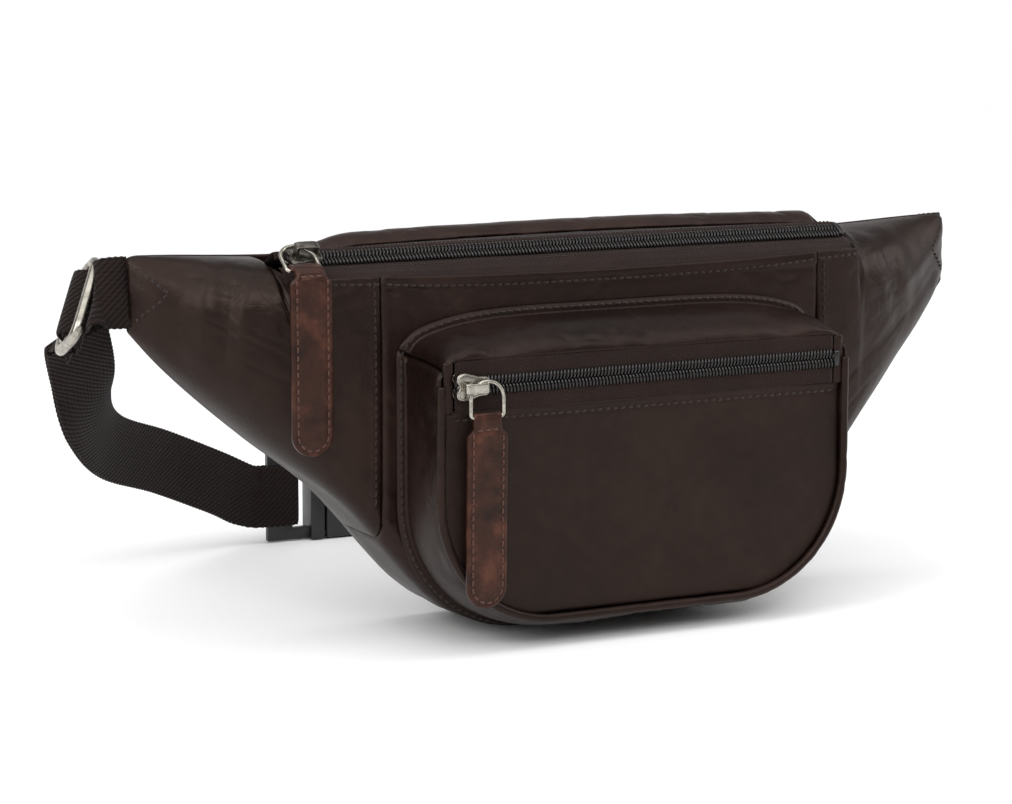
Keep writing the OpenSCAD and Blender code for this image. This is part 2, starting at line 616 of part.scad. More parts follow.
module buckle_male() color(plastic) placed() difference() {
    union() {
        edge_on(buckle_y, bar_t) translate([male_from, 0])
            square([male_to - male_from, buckle_h]);
        edge_on(buckle_y, shell_t) translate([male_slot_to, 0])
            square([male_to - male_slot_to, buckle_h]);
        edge_on(buckle_y, 4) translate([male_to - 1, buckle_z - 2]) square([24, 4]);
        for (s = [-1, 1]) edge_on(buckle_y, prong_t) translate([male_to - 1, buckle_z + s * prong_z - 4])
            square([2.4, 8]);
    }
    edge_on(buckle_y, bar_t + 1) translate([left_bar[0], rail])
        square([male_slot_to - left_bar[0], buckle_h - 2 * rail]);
    for (s = [-1, 1]) translate([prong_from, buckle_y, buckle_z + s * prong_z]) rotate([90, 0, 0])
        cylinder(r = pivot_r + 0.1, h = prong_t + 1, center = true, $fn = facets);
}

module buckle_female() color(plastic) placed() difference() {
    union() {
        edge_on(buckle_y, shell_t) translate([shell_from, 0])
            square([shell_slot[0] - shell_from, buckle_h]);
        edge_on(buckle_y, bar_t) translate([shell_slot[0] - 1, 0])
            square([shell_to - shell_slot[0] + 1, buckle_h]);
    }
    edge_on(buckle_y, shell_t - 2 * shell_wall) translate([shell_from - 1, 2.4])
        square([shell_solid - shell_from + 1, buckle_h - 4.8]);
    edge_on(buckle_y, shell_t - 2 * shell_wall) translate([window[0], -1])
        square([window[1] - window[0], buckle_h + 2]);
    edge_on(buckle_y, bar_t + 1) translate([shell_slot[0], rail])
        square([shell_slot[1] - shell_slot[0], buckle_h - 2 * rail]);
}

back_panel();
back_lining();
front_panel();
front_lining();
wing_left();
wing_right();
rear_facing();
main_tape_front();
main_tape_rear();
main_teeth_front();
main_teeth_rear();
main_end_stop();
main_slider();
main_ring();
main_tab();
pocket_face();
pocket_top_panel();
pocket_gusset();
pocket_piping();
pocket_lining();
pocket_tape_upper();
pocket_tape_lower();
pocket_teeth_upper();
pocket_teeth_lower();
pocket_end_stop();
pocket_slider();
pocket_ring();
pocket_tab();
belt_left();
belt_right();
belt_right_loop();
belt_end_wrap();
tri_glide();
buckle_male();
buckle_prong_upper();
buckle_prong_lower();
buckle_female();
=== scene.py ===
import bmesh
import bpy
import math
import numpy as np
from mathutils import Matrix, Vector, noise

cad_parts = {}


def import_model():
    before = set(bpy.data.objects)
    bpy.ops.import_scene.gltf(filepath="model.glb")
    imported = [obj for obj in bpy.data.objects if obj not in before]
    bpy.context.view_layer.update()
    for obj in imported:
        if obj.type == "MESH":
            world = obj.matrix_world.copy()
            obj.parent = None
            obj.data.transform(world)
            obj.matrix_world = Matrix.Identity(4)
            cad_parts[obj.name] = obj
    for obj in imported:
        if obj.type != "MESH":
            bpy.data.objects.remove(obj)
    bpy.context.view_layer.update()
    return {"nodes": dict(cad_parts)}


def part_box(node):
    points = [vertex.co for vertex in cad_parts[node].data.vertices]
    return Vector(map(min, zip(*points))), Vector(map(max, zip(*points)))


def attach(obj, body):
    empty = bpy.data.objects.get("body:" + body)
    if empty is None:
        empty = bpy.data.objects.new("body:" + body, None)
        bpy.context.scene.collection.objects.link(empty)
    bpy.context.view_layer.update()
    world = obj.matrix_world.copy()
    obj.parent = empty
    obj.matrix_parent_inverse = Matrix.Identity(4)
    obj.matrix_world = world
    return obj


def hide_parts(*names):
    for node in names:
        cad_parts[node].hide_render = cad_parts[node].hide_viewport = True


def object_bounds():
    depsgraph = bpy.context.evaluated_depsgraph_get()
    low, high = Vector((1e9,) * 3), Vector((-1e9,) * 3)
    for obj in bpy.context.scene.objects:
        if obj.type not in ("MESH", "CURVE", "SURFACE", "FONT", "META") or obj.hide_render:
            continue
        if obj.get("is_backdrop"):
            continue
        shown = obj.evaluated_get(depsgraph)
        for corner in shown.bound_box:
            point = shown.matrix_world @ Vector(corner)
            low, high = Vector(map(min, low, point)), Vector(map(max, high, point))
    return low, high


# Lengths in this script are in mm from the bag's centre line (x = 0) and the front panel's
# outside (y = 0), as in the CAD source. world() turns them into the row frame, in metres.
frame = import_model()
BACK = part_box("back_panel")
MM = 1000.0             # mm in a metre
BACK_T = 2.0            # the back panel's leather
BAG_DEPTH = 38.0        # from the front panel's outside to the back panel
SHIFT = np.array([-(BACK[0].x + BACK[1].x) * MM / 2, BAG_DEPTH + BACK_T - BACK[1].y * MM, 0.0])


def world(p):
    return (np.asarray(p, float) - SHIFT) / MM


def bag(v):
    return np.array([v[0], v[1], v[2]]) * MM + SHIFT


def box(node):
    lo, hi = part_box(node)
    return bag(lo), bag(hi)


# ---------------------------------------------------------------- number helpers

def ease(t):
    t = np.clip(t, 0, 1)
    return t * t * (3 - 2 * t)


def mix(a, b, t):
    return a + (b - a) * t


def unit(v):
    v = np.asarray(v, float)
    return v / np.maximum(np.linalg.norm(v, axis=-1, keepdims=True), 1e-9)


def bump(d, width):
    """1 at d = 0, falling to 0 at about two widths."""
    return np.exp(-(d / width) ** 2)


def fbm(p, size, octaves=3, seed=0.0, stretch=(1, 1, 1)):
    """Smooth noise at each point of p (mm), with features of about size mm."""
    q = (np.asarray(p, float) / size * np.asarray(stretch, float) + seed).reshape(-1, 3)
    out = np.empty(len(q))
    for i, c in enumerate(q.tolist()):
        v, amp = 0.0, 1.0
        c = Vector(c)
        for _ in range(octaves):
            v += amp * noise.noise(c)
            c = c * 2.03
            amp *= 0.5
        out[i] = v
    return out.reshape(np.asarray(p).shape[:-1])


def creases(p, size, seed=0.0, stretch=(1, 1, 1), sharp=0.16):
    """Thin valleys where smooth noise crosses zero, from 0 (flat) to 1 (in a crease)."""
    n = fbm(p, size, 2, seed, stretch)
    where = np.clip(fbm(p, size * 1.7, 1, seed + 31.7) * 2.2 + 0.35, 0, 1)
    return np.exp(-(n / sharp) ** 2) * where


def catmull(pts, n):
    """A smooth curve through pts, with n points to each stretch."""
    p = np.asarray(pts, float)
    out = []
    for i in range(len(p) - 1):
        a, b, c, d = p[max(0, i - 1)], p[i], p[i + 1], p[min(len(p) - 1, i + 2)]
        for k in range(n):
            t = k / n
            out.append(0.5 * (2 * b + (c - a) * t + (2 * a - 5 * b + 4 * c - d) * t * t
                              + (3 * b - a - 3 * c + d) * t ** 3))
    out.append(p[-1])
    return np.array(out)


def arc(pts):
    """The length run at each point of a line."""
    return np.concatenate([[0], np.cumsum(np.linalg.norm(np.diff(pts, axis=0), axis=1))])


def resample(pts, step):
    """The same line with points about step mm apart."""
    pts = np.asarray(pts, float)
    s = arc(pts)
    n = max(2, int(round(s[-1] / step)) + 1)
    t = np.linspace(0, s[-1], n)
    return np.stack([np.interp(t, s, pts[:, k]) for k in range(pts.shape[1])], 1)


def grid_normals(g):
    return unit(np.cross(np.gradient(g, axis=0), np.gradient(g, axis=1)))


def squircle(count, kx, ky):
    """The x and y of a rounded square's points; the lower kx and ky, the squarer it is."""
    a = np.linspace(0, 2 * math.pi, count, endpoint=False)
    c, s = np.cos(a), np.sin(a)
    return np.sign(c) * np.abs(c) ** kx, np.sign(s) * np.abs(s) ** ky


# ---------------------------------------------------------------- mesh helpers

def add(name, data):
    ob = bpy.data.objects.new(name, data)
    bpy.context.scene.collection.objects.link(ob)
    return ob


def make(name, verts, faces, mat, body, nodes=(), uv=None):
    verts = np.array(verts, float)
    verts[:, 2] = np.maximum(verts[:, 2], 0)    # nothing goes under the ground
    me = bpy.data.meshes.new(name)
    me.from_pydata([tuple(v) for v in world(verts).tolist()], [], faces)
    me.materials.append(mat)
    if uv is not None:
        layer = me.uv_layers.new(name="cloth")
        ids = np.empty(len(me.loops), dtype=np.int32)
        me.loops.foreach_get("vertex_index", ids)
        layer.data.foreach_set("uv", np.asarray(uv, float)[ids].reshape(-1).astype(np.float32))
    me.polygons.foreach_set("use_smooth", [True] * len(me.polygons))
    me.update()
    ob = add(name, me)
    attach(ob, body)
    if nodes:
        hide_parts(*nodes)
    return ob


def grid(name, g, t, mat, body, nodes=(), round_edge=0.35):
    """A sheet of thickness t on grid g, growing against its normals, with softly rounded edges."""
    g = np.asarray(g, float)
    r, c = g.shape[:2]
    nrm = grid_normals(g)
    edge = np.zeros((r, c))
    edge[0] = edge[-1] = edge[:, 0] = edge[:, -1] = round_edge * min(t, 1.6)
    outer = g - nrm * edge[..., None]
    inner = g - nrm * (t - edge[..., None])
    v = np.concatenate([outer.reshape(-1, 3), inner.reshape(-1, 3)])
    n = r * c
    idx = np.arange(n).reshape(r, c)
    a, b, d, e = idx[:-1, :-1], idx[1:, :-1], idx[1:, 1:], idx[:-1, 1:]
    top = np.stack([a, b, d, e], -1).reshape(-1, 4)
    faces = top.tolist() + (top[:, ::-1] + n).tolist()

    def rim(line):
        for p, q in zip(line[:-1], line[1:]):
            faces.append([int(q), int(p), int(p) + n, int(q) + n])
    for line in (idx[0][::-1], idx[-1], idx[:, 0], idx[::-1, -1]):
        rim(line)
    u = np.concatenate([[0], np.cumsum(np.linalg.norm(np.diff(g[r // 2], axis=0), axis=1))])
    w = np.concatenate([[0], np.cumsum(np.linalg.norm(np.diff(g[:, c // 2], axis=0), axis=1))])
    uv = np.stack([np.broadcast_to(u[None], (r, c)), np.broadcast_to(w[:, None], (r, c))], -1)
    uv = np.concatenate([uv.reshape(-1, 2)] * 2)
    return make(name, v, faces, mat, body, nodes, uv)


def quads(idx, closed=False):
    """Faces between each ring of point numbers and the next, and from the last to the first."""
    nxt = np.roll(idx, -1, 1)
    faces = []
    for i in range(len(idx) if closed else len(idx) - 1):
        j = (i + 1) % len(idx)
        faces += np.stack([idx[i], nxt[i], nxt[j], idx[j]], -1).tolist()
    return faces


def bar_mesh(rr, closed=False):
    """(verts, faces) of a bar through rings of points, with flat ends unless it is closed."""
    rr = np.asarray(rr, float)
    idx = np.arange(rr.shape[0] * rr.shape[1]).reshape(rr.shape[:2])
    faces = quads(idx, closed)
    if not closed:
        faces += [idx[0][::-1].tolist(), idx[-1].tolist()]
    return rr.reshape(-1, 3), faces


def rings(name, rr, mat, body, nodes=(), closed=False):
    """A bar through rings of points; each ring is a loop of the same length."""
    rr = np.asarray(rr, float)
    shape = rr.shape[:2]
    verts, faces = bar_mesh(rr, closed)
    uv = np.stack([np.broadcast_to(arc(rr[0])[None], shape),
                   np.broadcast_to(arc(rr.mean(1))[:, None], shape)], -1)
    return make(name, verts, faces, mat, body, nodes, uv.reshape(-1, 2))


def tube_rings(path, radius, sides=10, closed=False):
    """Rings of a round tube along path; the radius is one number or one for each point."""
    p = np.asarray(path, float)
    if closed:
        t = unit(np.roll(p, -1, 0) - np.roll(p, 1, 0))
    else:
        t = unit(np.gradient(p, axis=0))
    ref = np.array([0.13, 0.21, 1.0]) if abs(t[0][2]) < 0.9 else np.array([1.0, 0.1, 0.2])
    a = unit(np.cross(t[0], ref))
    out = []
    rad = np.broadcast_to(np.asarray(radius, float), (len(p),))
    ang = np.linspace(0, 2 * math.pi, sides, endpoint=False)
    for i in range(len(p)):
        a = unit(a - t[i] * np.dot(a, t[i]))
        b = np.cross(t[i], a)
        out.append(p[i] + rad[i] * (np.cos(ang)[:, None] * a + np.sin(ang)[:, None] * b))
    return np.array(out)


THREAD_SIDES, THREAD_STEPS = 6, 7


def stitches(name, line, nrm, body, pitch=3.1, length=2.3, r=0.36, sink=0.1, mat=None):
    """Thread laid along line (mm) on a surface with the given normals."""
    line = np.asarray(line, float)
    nrm = np.broadcast_to(np.asarray(nrm, float), line.shape)
    both = resample(np.concatenate([line, nrm], 1), 0.5)
    s = arc(both[:, :3])
    count = int((s[-1] - length) // pitch)
    ang = np.linspace(0, 2 * math.pi, THREAD_SIDES, endpoint=False)
    per_stitch = THREAD_STEPS * THREAD_SIDES
    vs, fs = [], []
    for k in range(count + 1):
        s0 = 0.4 + k * pitch
        q = np.linspace(s0, s0 + length, THREAD_STEPS)
        pts = np.stack([np.interp(q, s, both[:, i]) for i in range(3)], 1)
        nn = unit(np.stack([np.interp(q, s, both[:, 3 + i]) for i in range(3)], 1))
        t = unit(np.gradient(pts, axis=0))
        side = np.cross(nn, t)
        f = np.linspace(-1, 1, THREAD_STEPS)
        rad = r * np.sqrt(np.clip(1 - f ** 4, 0.02, 1))
        lift = (1 - f ** 4) * (r - sink) - r * 0.5 * f ** 4
        c = pts + nn * lift[:, None]
        ring = c[:, None] + rad[:, None, None] * (
            np.cos(ang)[None, :, None] * side[:, None] + np.sin(ang)[None, :, None] * nn[:, None])
        vs.append(ring.reshape(-1, 3))
        fs += quads(np.arange(per_stitch).reshape(THREAD_STEPS, THREAD_SIDES) + k * per_stitch)
    return make(name, np.concatenate(vs), fs, mat or THREAD, body)


# ---------------------------------------------------------------- materials

class Nodes:
    """One material with a Principled shader, and short calls that add nodes to it."""
    def __init__(self, name):
        self.mat = bpy.data.materials.new(name)
        self.mat.use_nodes = True
        self.t = self.mat.node_tree
        self.t.nodes.clear()
        self.out = self.t.nodes.new("ShaderNodeOutputMaterial")
        self.bsdf = self.t.nodes.new("ShaderNodeBsdfPrincipled")
        self.t.links.new(self.bsdf.outputs[0], self.out.inputs[0])

    def put(self, sock, v):
        if isinstance(v, bpy.types.NodeSocket):
            self.t.links.new(v, sock)
        else:
            sock.default_value = v

    def node(self, kind, ins=None, **props):
        n = self.t.nodes.new("ShaderNode" + kind)
        for k, v in props.items():
            setattr(n, k, v)
        for k, v in (ins or {}).items():
            self.put(n.inputs[k], v)
        return n

    def math(self, op, a, b=0.0, c=0.0):
        n = self.node("Math", operation=op)
        for i, v in enumerate((a, b, c)):
            self.put(n.inputs[i], v)
        return n.outputs[0]

    def noise(self, vec, scale, detail=3.0, rough=0.5, distort=0.0):
        n = self.node("TexNoise", {"Vector": vec, "Scale": scale, "Detail": detail,
                                   "Roughness": rough, "Distortion": distort})
        return n.outputs["Fac"]

    def ramp(self, fac, stops):
        n = self.node("ValToRGB", {"Fac": fac})
        e = n.color_ramp.elements
        while len(e) < len(stops):
            e.new(0.5)
        for el, (pos, col) in zip(e, stops):
            el.position = pos
            el.color = tuple(col) + (1.0,)
        return n.outputs["Color"]

    def span(self, fac, lo, hi, a, b):
        n = self.node("MapRange", {"Value": fac, "From Min": lo, "From Max": hi,
                                   "To Min": a, "To Max": b})
        return n.outputs["Result"]

    def mixc(self, fac, a, b, mode="MIX"):
        n = self.node("Mix", data_type="RGBA", blend_type=mode)
        self.put(n.inputs[0], fac)
        for i, v in ((6, a), (7, b)):
            plain = isinstance(v, (tuple, list)) and len(v) == 3
            self.put(n.inputs[i], tuple(v) + (1.0,) if plain else v)
        return n.outputs[2]

    def bumps(self, *layers):
        last = None
        for height, dist, strength in layers:
            ins = {"Height": height, "Distance": dist, "Strength": strength}
            if last is not None:
                ins["Normal"] = last
            last = self.node("Bump", ins).outputs["Normal"]
        self.put(self.bsdf.inputs["Normal"], last)

    def set(self, **kw):
        for k, v in kw.items():
            key = {"color": "Base Color", "rough": "Roughness", "metal": "Metallic",
                   "spec": "Specular IOR Level", "coat": "Coat Weight",
                   "coat_rough": "Coat Roughness", "sheen": "Sheen Weight",
                   "sheen_rough": "Sheen Roughness", "tint": "Specular Tint"}[k]
            if isinstance(v, tuple) and len(v) == 3:
                v = v + (1.0,)
            self.put(self.bsdf.inputs[key], v)
        return self.mat


def leather(name, dark, mid, light, rough=0.40, grain=1.0, veins=1.0, coat=0.0, cloudy=22.0):
    m = Nodes(name)
    co = m.node("TexCoord").outputs["Object"]
    cloud = m.noise(co, cloudy, 4, 0.55)
    spots = m.noise(co, 160, 3, 0.6)
    tone = m.math("MULTIPLY_ADD", spots, 0.35, m.math("MULTIPLY", cloud, 0.75))
    col = m.ramp(tone, [(0.38, dark), (0.56, mid), (0.74, light)])
    warp = m.node("Mix", data_type="VECTOR")
    m.put(warp.inputs[0], 0.06)
    m.put(warp.inputs[4], co)
    drift = m.node("TexNoise", {"Vector": co, "Scale": 45, "Detail": 3.0})
    m.put(warp.inputs[5], drift.outputs["Color"])
    pebble = m.node("TexVoronoi", {"Vector": co, "Scale": 950, "Randomness": 1.0},
                    feature="SMOOTH_F1").outputs["Distance"]
    fine = m.noise(co, 1500, 3, 0.6)
    vein = m.node("TexVoronoi", {"Vector": warp.outputs[1], "Scale": 130, "Randomness": 1.0},
                  feature="DISTANCE_TO_EDGE").outputs["Distance"]
    vein = m.span(vein, 0.0, 0.07, 0.0, 1.0)
    gate = m.span(m.noise(co, 30, 2), 0.44, 0.62, 0.0, 1.0)
    vein = m.math("SUBTRACT", 1.0, m.math("MULTIPLY", m.math("SUBTRACT", 1.0, vein), gate))
    pores = m.node("TexVoronoi", {"Vector": co, "Scale": 420, "Randomness": 1.0},
                   feature="F1").outputs["Distance"]
    pores = m.span(pores, 0.02, 0.16, 0.0, 1.0)
    col = m.mixc(m.math("MULTIPLY", m.math("SUBTRACT", 1.0, vein), 0.35), col, dark)
    rr = m.math("ADD", m.span(cloud, 0.3, 0.7, rough - 0.06, rough + 0.07),
                m.span(fine, 0.3, 0.7, -0.03, 0.05))
    m.bumps((pebble, 0.00012 * grain, 0.30), (fine, 0.00004 * grain, 0.5),
            (vein, 0.00012 * veins, 0.35), (pores, 0.00005 * grain, 0.3),
            (m.noise(co, 90, 3), 0.0005, 0.22))
    return m.set(color=col, rough=rr, coat=coat, coat_rough=0.32, spec=0.24, tint=(1.0, 0.76, 0.66))


def woven(name, dark, light, period, pitch, depth, rough=0.8, sheen=0.25):
    """Herringbone twill from the piece's own u (across) and v (along), in mm."""
    m = Nodes(name)
    uv = m.node("SeparateXYZ", {"Vector": m.node("UVMap", uv_map="cloth").outputs["UV"]})
    co = m.node("TexCoord").outputs["Object"]
    zig = m.math("PINGPONG", uv.outputs["X"], period)
    slope = m.math("ADD", m.math("MULTIPLY", zig, 1.0), uv.outputs["Y"])
    rib = m.math("SINE", m.math("MULTIPLY", slope, 2 * math.pi / pitch))
    cross = m.math("SINE", m.math("MULTIPLY", uv.outputs["X"], 2 * math.pi / (pitch * 0.62)))
    rib = m.span(rib, -1, 1, 0, 1)
    weave = m.math("ADD", m.math("MULTIPLY", rib, 0.75),
                   m.math("MULTIPLY", m.span(cross, -1, 1, 0, 1), 0.25))
    fuzz = m.noise(co, 2200, 3, 0.7)
    tone = m.math("ADD", m.math("MULTIPLY", weave, 0.7), m.math("MULTIPLY", fuzz, 0.3))
    big = m.noise(co, 60, 3)
    col = m.ramp(tone, [(0.2, dark), (0.8, light)])
    col = m.mixc(m.span(big, 0.35, 0.65, 0.0, 0.35), col, dark)
    m.bumps((weave, depth, 0.7), (fuzz, 0.00008, 0.4))
    return m.set(color=col, rough=m.span(fuzz, 0.3, 0.7, rough - 0.08, rough + 0.08),
                 sheen=sheen, sheen_rough=0.5, spec=0.12)


def metal(name, bright, tarnish, rough, patch=0.5):
    m = Nodes(name)
    co = m.node("TexCoord").outputs["Object"]
    stain = m.span(m.noise(co, 260, 4, 0.6), 0.42, 0.66, 0.0, patch)
    drawn = m.node("Mapping", {"Vector": co, "Scale": (900, 6000, 900)})
    scratch = m.noise(drawn.outputs[0], 1.0, 2)
    col = m.mixc(stain, bright, tarnish)
    m.bumps((m.noise(co, 700, 3), 0.00005, 0.35), (scratch, 0.00001, 0.2))
    return m.set(color=col, metal=1.0,
                 rough=m.math("ADD", m.span(stain, 0, patch, rough, rough + 0.2),
                              m.span(scratch, 0.3, 0.7, -0.03, 0.05)))


def plastic(name, color, rough):
    m = Nodes(name)
    co = m.node("TexCoord").outputs["Object"]
    fine = m.noise(co, 2500, 2)
    worn = m.noise(co, 120, 3)
    col = m.mixc(m.span(worn, 0.45, 0.7, 0.0, 0.5), color, tuple(c * 1.8 for c in color))
    m.bumps((fine, 0.00003, 0.4))
    return m.set(color=col, rough=m.span(worn, 0.3, 0.7, rough - 0.05, rough + 0.1), spec=0.5)


LEATHER = leather("leather_brown", (0.0040, 0.0019, 0.0015), (0.0082, 0.0040, 0.0031),
                  (0.0150, 0.0075, 0.0058))
LEATHER_FACE = leather("leather_face", (0.0056, 0.0030, 0.0024), (0.0095, 0.0052, 0.0041),
                       (0.0145, 0.0080, 0.0062), rough=0.50, grain=0.8)
# a lighter copy of the bag leather for the rolled rear facing on top: painted highlight where the
# top catches the light
ROLL_LEATHER_PAINTED_HIGHLIGHT = leather("leather_roll_painted_highlight", (0.0090, 0.0046, 0.0036), (0.0170, 0.0088, 0.0070),
                       (0.026, 0.0140, 0.0112), rough=0.38)
TAB = leather("tab_leather", (0.0070, 0.0023, 0.0017), (0.0260, 0.0084, 0.0054),
              (0.078, 0.0270, 0.0155), rough=0.38, grain=0.9, veins=0.6, coat=0.08, cloudy=85.0)
THREAD = woven("thread_brown", (0.006, 0.0028, 0.0022), (0.024, 0.0115, 0.0088), 1.0, 0.8, 0.00005)
THREAD_TAB = woven("thread_tab", (0.045, 0.017, 0.012), (0.120, 0.048, 0.032), 1.0, 0.8, 0.00005)
TAPE = woven("tape_woven", (0.0040, 0.0019, 0.0015), (0.0300, 0.0150, 0.0118), 1.6, 1.15, 0.00018,
             sheen=0.06)
WEB = woven("webbing_twill", (0.0030, 0.0016, 0.0013), (0.0175, 0.0094, 0.0077), 30.0, 2.4, 0.00050,
            sheen=0.06)
COTTON = woven("cotton_lining", (0.010, 0.0065, 0.005), (0.02, 0.013, 0.0105), 0.6, 0.9, 0.0001,
               sheen=0.05)
COIL = plastic("coil_nylon", (0.0050, 0.0042, 0.0038), 0.28)
NICKEL = metal("nickel_antique", (0.42, 0.395, 0.345), (0.075, 0.065, 0.052), 0.20)
GUN = metal("gunmetal_antique", (0.17, 0.158, 0.14), (0.032, 0.028, 0.024), 0.27, 0.8)
BLACK = plastic("buckle_acetal", (0.0075, 0.0078, 0.0085), 0.34)

# ---------------------------------------------------------------- outlines of the bag

REACH = box("wing_right")[1][0]             # the wings' tips
PANEL = 90.0                                # the seams between the front panel and the wings
BACK_H = box("back_panel")[1][2]
LIP_H = box("front_panel")[1][2] - 1.6      # the front panel's top edge in the middle
LEFT_MOUTH, RIGHT_MOUTH = 122.0, 111.0      # the main mouth's ends
DIP = 138.0                                 # a wing's top beside the mouth
TIP_LOW, TIP_H = 113.0, 27.0                # a wing tip's foot and height
# the lower edge: flat at the foot, steep at the body's round corners, flatter along the wings
LOW_EDGE = catmull([(0, 0), (33, 0), (46, 1.5), (59, 6.5), (71, 15.5), (82, 27.5), (92, 39.5),
                    (102, 50.5), (113, 60), (128, 71.5), (147, 88), (160, 100.5),
                    (REACH, TIP_LOW)], 12)


def low_z(x):
    """Height of the bag's lower edge."""
    return np.maximum(np.interp(np.abs(x), LOW_EDGE[:, 0], LOW_EDGE[:, 1]), 0)


def back_top(x):
    """Height of the back panel's top edge, which the wings share."""
    a = np.abs(x)
    mid = BACK_H - 2 * (np.minimum(a, RIGHT_MOUTH) / RIGHT_MOUTH) ** 2
    wing = mix(DIP, TIP_LOW + TIP_H, ease((a - RIGHT_MOUTH) / (REACH - RIGHT_MOUTH)))
    drop = np.where(np.asarray(x) < 0, ease((a - LEFT_MOUTH + 38) / 32),
                    ease((a - RIGHT_MOUTH + 3) / 9))
    return mix(mid, wing, drop) - 1.4 * np.clip((a - REACH + 5) / 5, 0, 1) ** 2


def lip_z(x):
    """Height of the front lip, under the main zip."""
    return LIP_H + 1.6 * (np.minimum(np.abs(x), PANEL) / PANEL) ** 2


def front_y(x):
    """The outside of the front: flat in the panel, curving to the back along the wings."""
    return (BAG_DEPTH - 3.4) * (np.maximum(0, np.abs(x) - PANEL) / (REACH - PANEL)) ** 2


def skin(xs, steps=118, heel=16, inset=0.0):
    """The bag's outside below the mouth: rows along xs, columns down and under to the back."""
    out = []
    for x in xs:
        yf = float(front_y(x))
        deep = BAG_DEPTH - yf
        mouth = LEFT_MOUTH if x < 0 else RIGHT_MOUTH
        # 0 along the open mouth, 1 where the leather closes over; far runs from there to the tip
        closed = float(ease((abs(x) - mouth + 1) / 3.6))
        far = float(np.clip((abs(x) - mouth) / (REACH - mouth), 0, 1))
        wingness = float(ease((abs(x) - 96) / 50))
        zl = float(low_z(x))
        z_edge = float(back_top(x)) - 0.5
        hy = mix(min(9.0, deep * 0.45), deep * 0.9, wingness)
        hz = mix(min(11.0, deep * 0.6), (z_edge - zl) * 0.34, wingness)
        z_heel = zl + hz
        swell = 0.8 * deep / BAG_DEPTH
        t = np.linspace(0, 1, steps + 1)
        y_open = yf - swell * np.sin(math.pi * t)
        z_open = mix(float(lip_z(x)), z_heel, t)
        # beyond the mouth the leather comes over from the back's top edge, ever flatter to the tip
        over = int(steps * 0.46)
        q = np.linspace(0, math.pi / 2, over + 1)
        power = 2 / mix(2.5, 2.0, ease(far * 1.4))
        fall = (z_edge - z_heel) * mix(0.42, 0.66, ease(far * 1.4))
        y_shut = yf + (BAG_DEPTH - 1.9 - yf) * (1 - np.sin(q) ** power)
        z_shut = z_edge - fall * (1 - np.cos(q).clip(0) ** power)
        y_shut = np.concatenate([y_shut, np.full(steps - over, yf)])
        z_shut = np.concatenate([z_shut, np.linspace(z_edge - fall, z_heel, steps - over + 1)[1:]])
        a = np.radians(np.linspace(0, 90, heel + 1)[1:])
        y = np.concatenate([mix(y_open, y_shut, closed) + inset,
                            yf + hy * (1 - np.cos(a)) + inset * np.cos(a),
                            np.linspace(yf + hy, BAG_DEPTH - 0.3, 5)[1:]])
        z = np.concatenate([mix(z_open, z_shut, closed), z_heel - (hz - inset) * np.sin(a),
                            np.full(4, zl + inset)])
        out.append(np.stack([np.full(len(y), x), y, z], 1))
    return np.array(out)


def pressed(d, depth=0.8, width=1.5, roll=0.3):
    """Leather beside a seam at distance d: drawn in at the seam, rolled up just beside it."""
    return -depth * bump(d, width) + roll * bump(d - 2.6 * width, width * 1.2)


# ---------------------------------------------------------------- front panel and wings

xs = np.linspace(PANEL - 0.05, -PANEL + 0.05, 181)
g = skin(xs)
n = grid_normals(g)
down = LIP_H - g[..., 2]
d = 0.45 * fbm(g, 34, 3, 3.1) - 0.38 * creases(g, 17, 5.2, (1, 1, 1.5)) + 0.12 * fbm(g, 8, 2, 7.7)
d += pressed(PANEL - np.abs(g[..., 0]), 0.25, 1.0, 0.15)
d += 0.35 * bump(down - 1.6, 2.2) - 0.30 * bump(down - 4.4, 0.9)
low = g[..., 2] < 30
d += np.where(low, 0.55 * fbm(g, 13, 2, 9.3, (1.6, 1, 0.5)) * ease((30 - g[..., 2]) / 26), 0)
d *= ease((g[..., 1].max() - g[..., 1]) / 5) * 0.9 + 0.1
front = g + n * d[..., None]
front_n = grid_normals(front)
grid("front_panel_leather", front, 1.6, LEATHER, "bag", ("front_panel",),
     round_edge=0.12)
grid("front_lining_cloth", skin(np.linspace(84, -84, 40), 30, 6, 1.95), 0.5, COTTON, "bag",
     ("front_lining",))


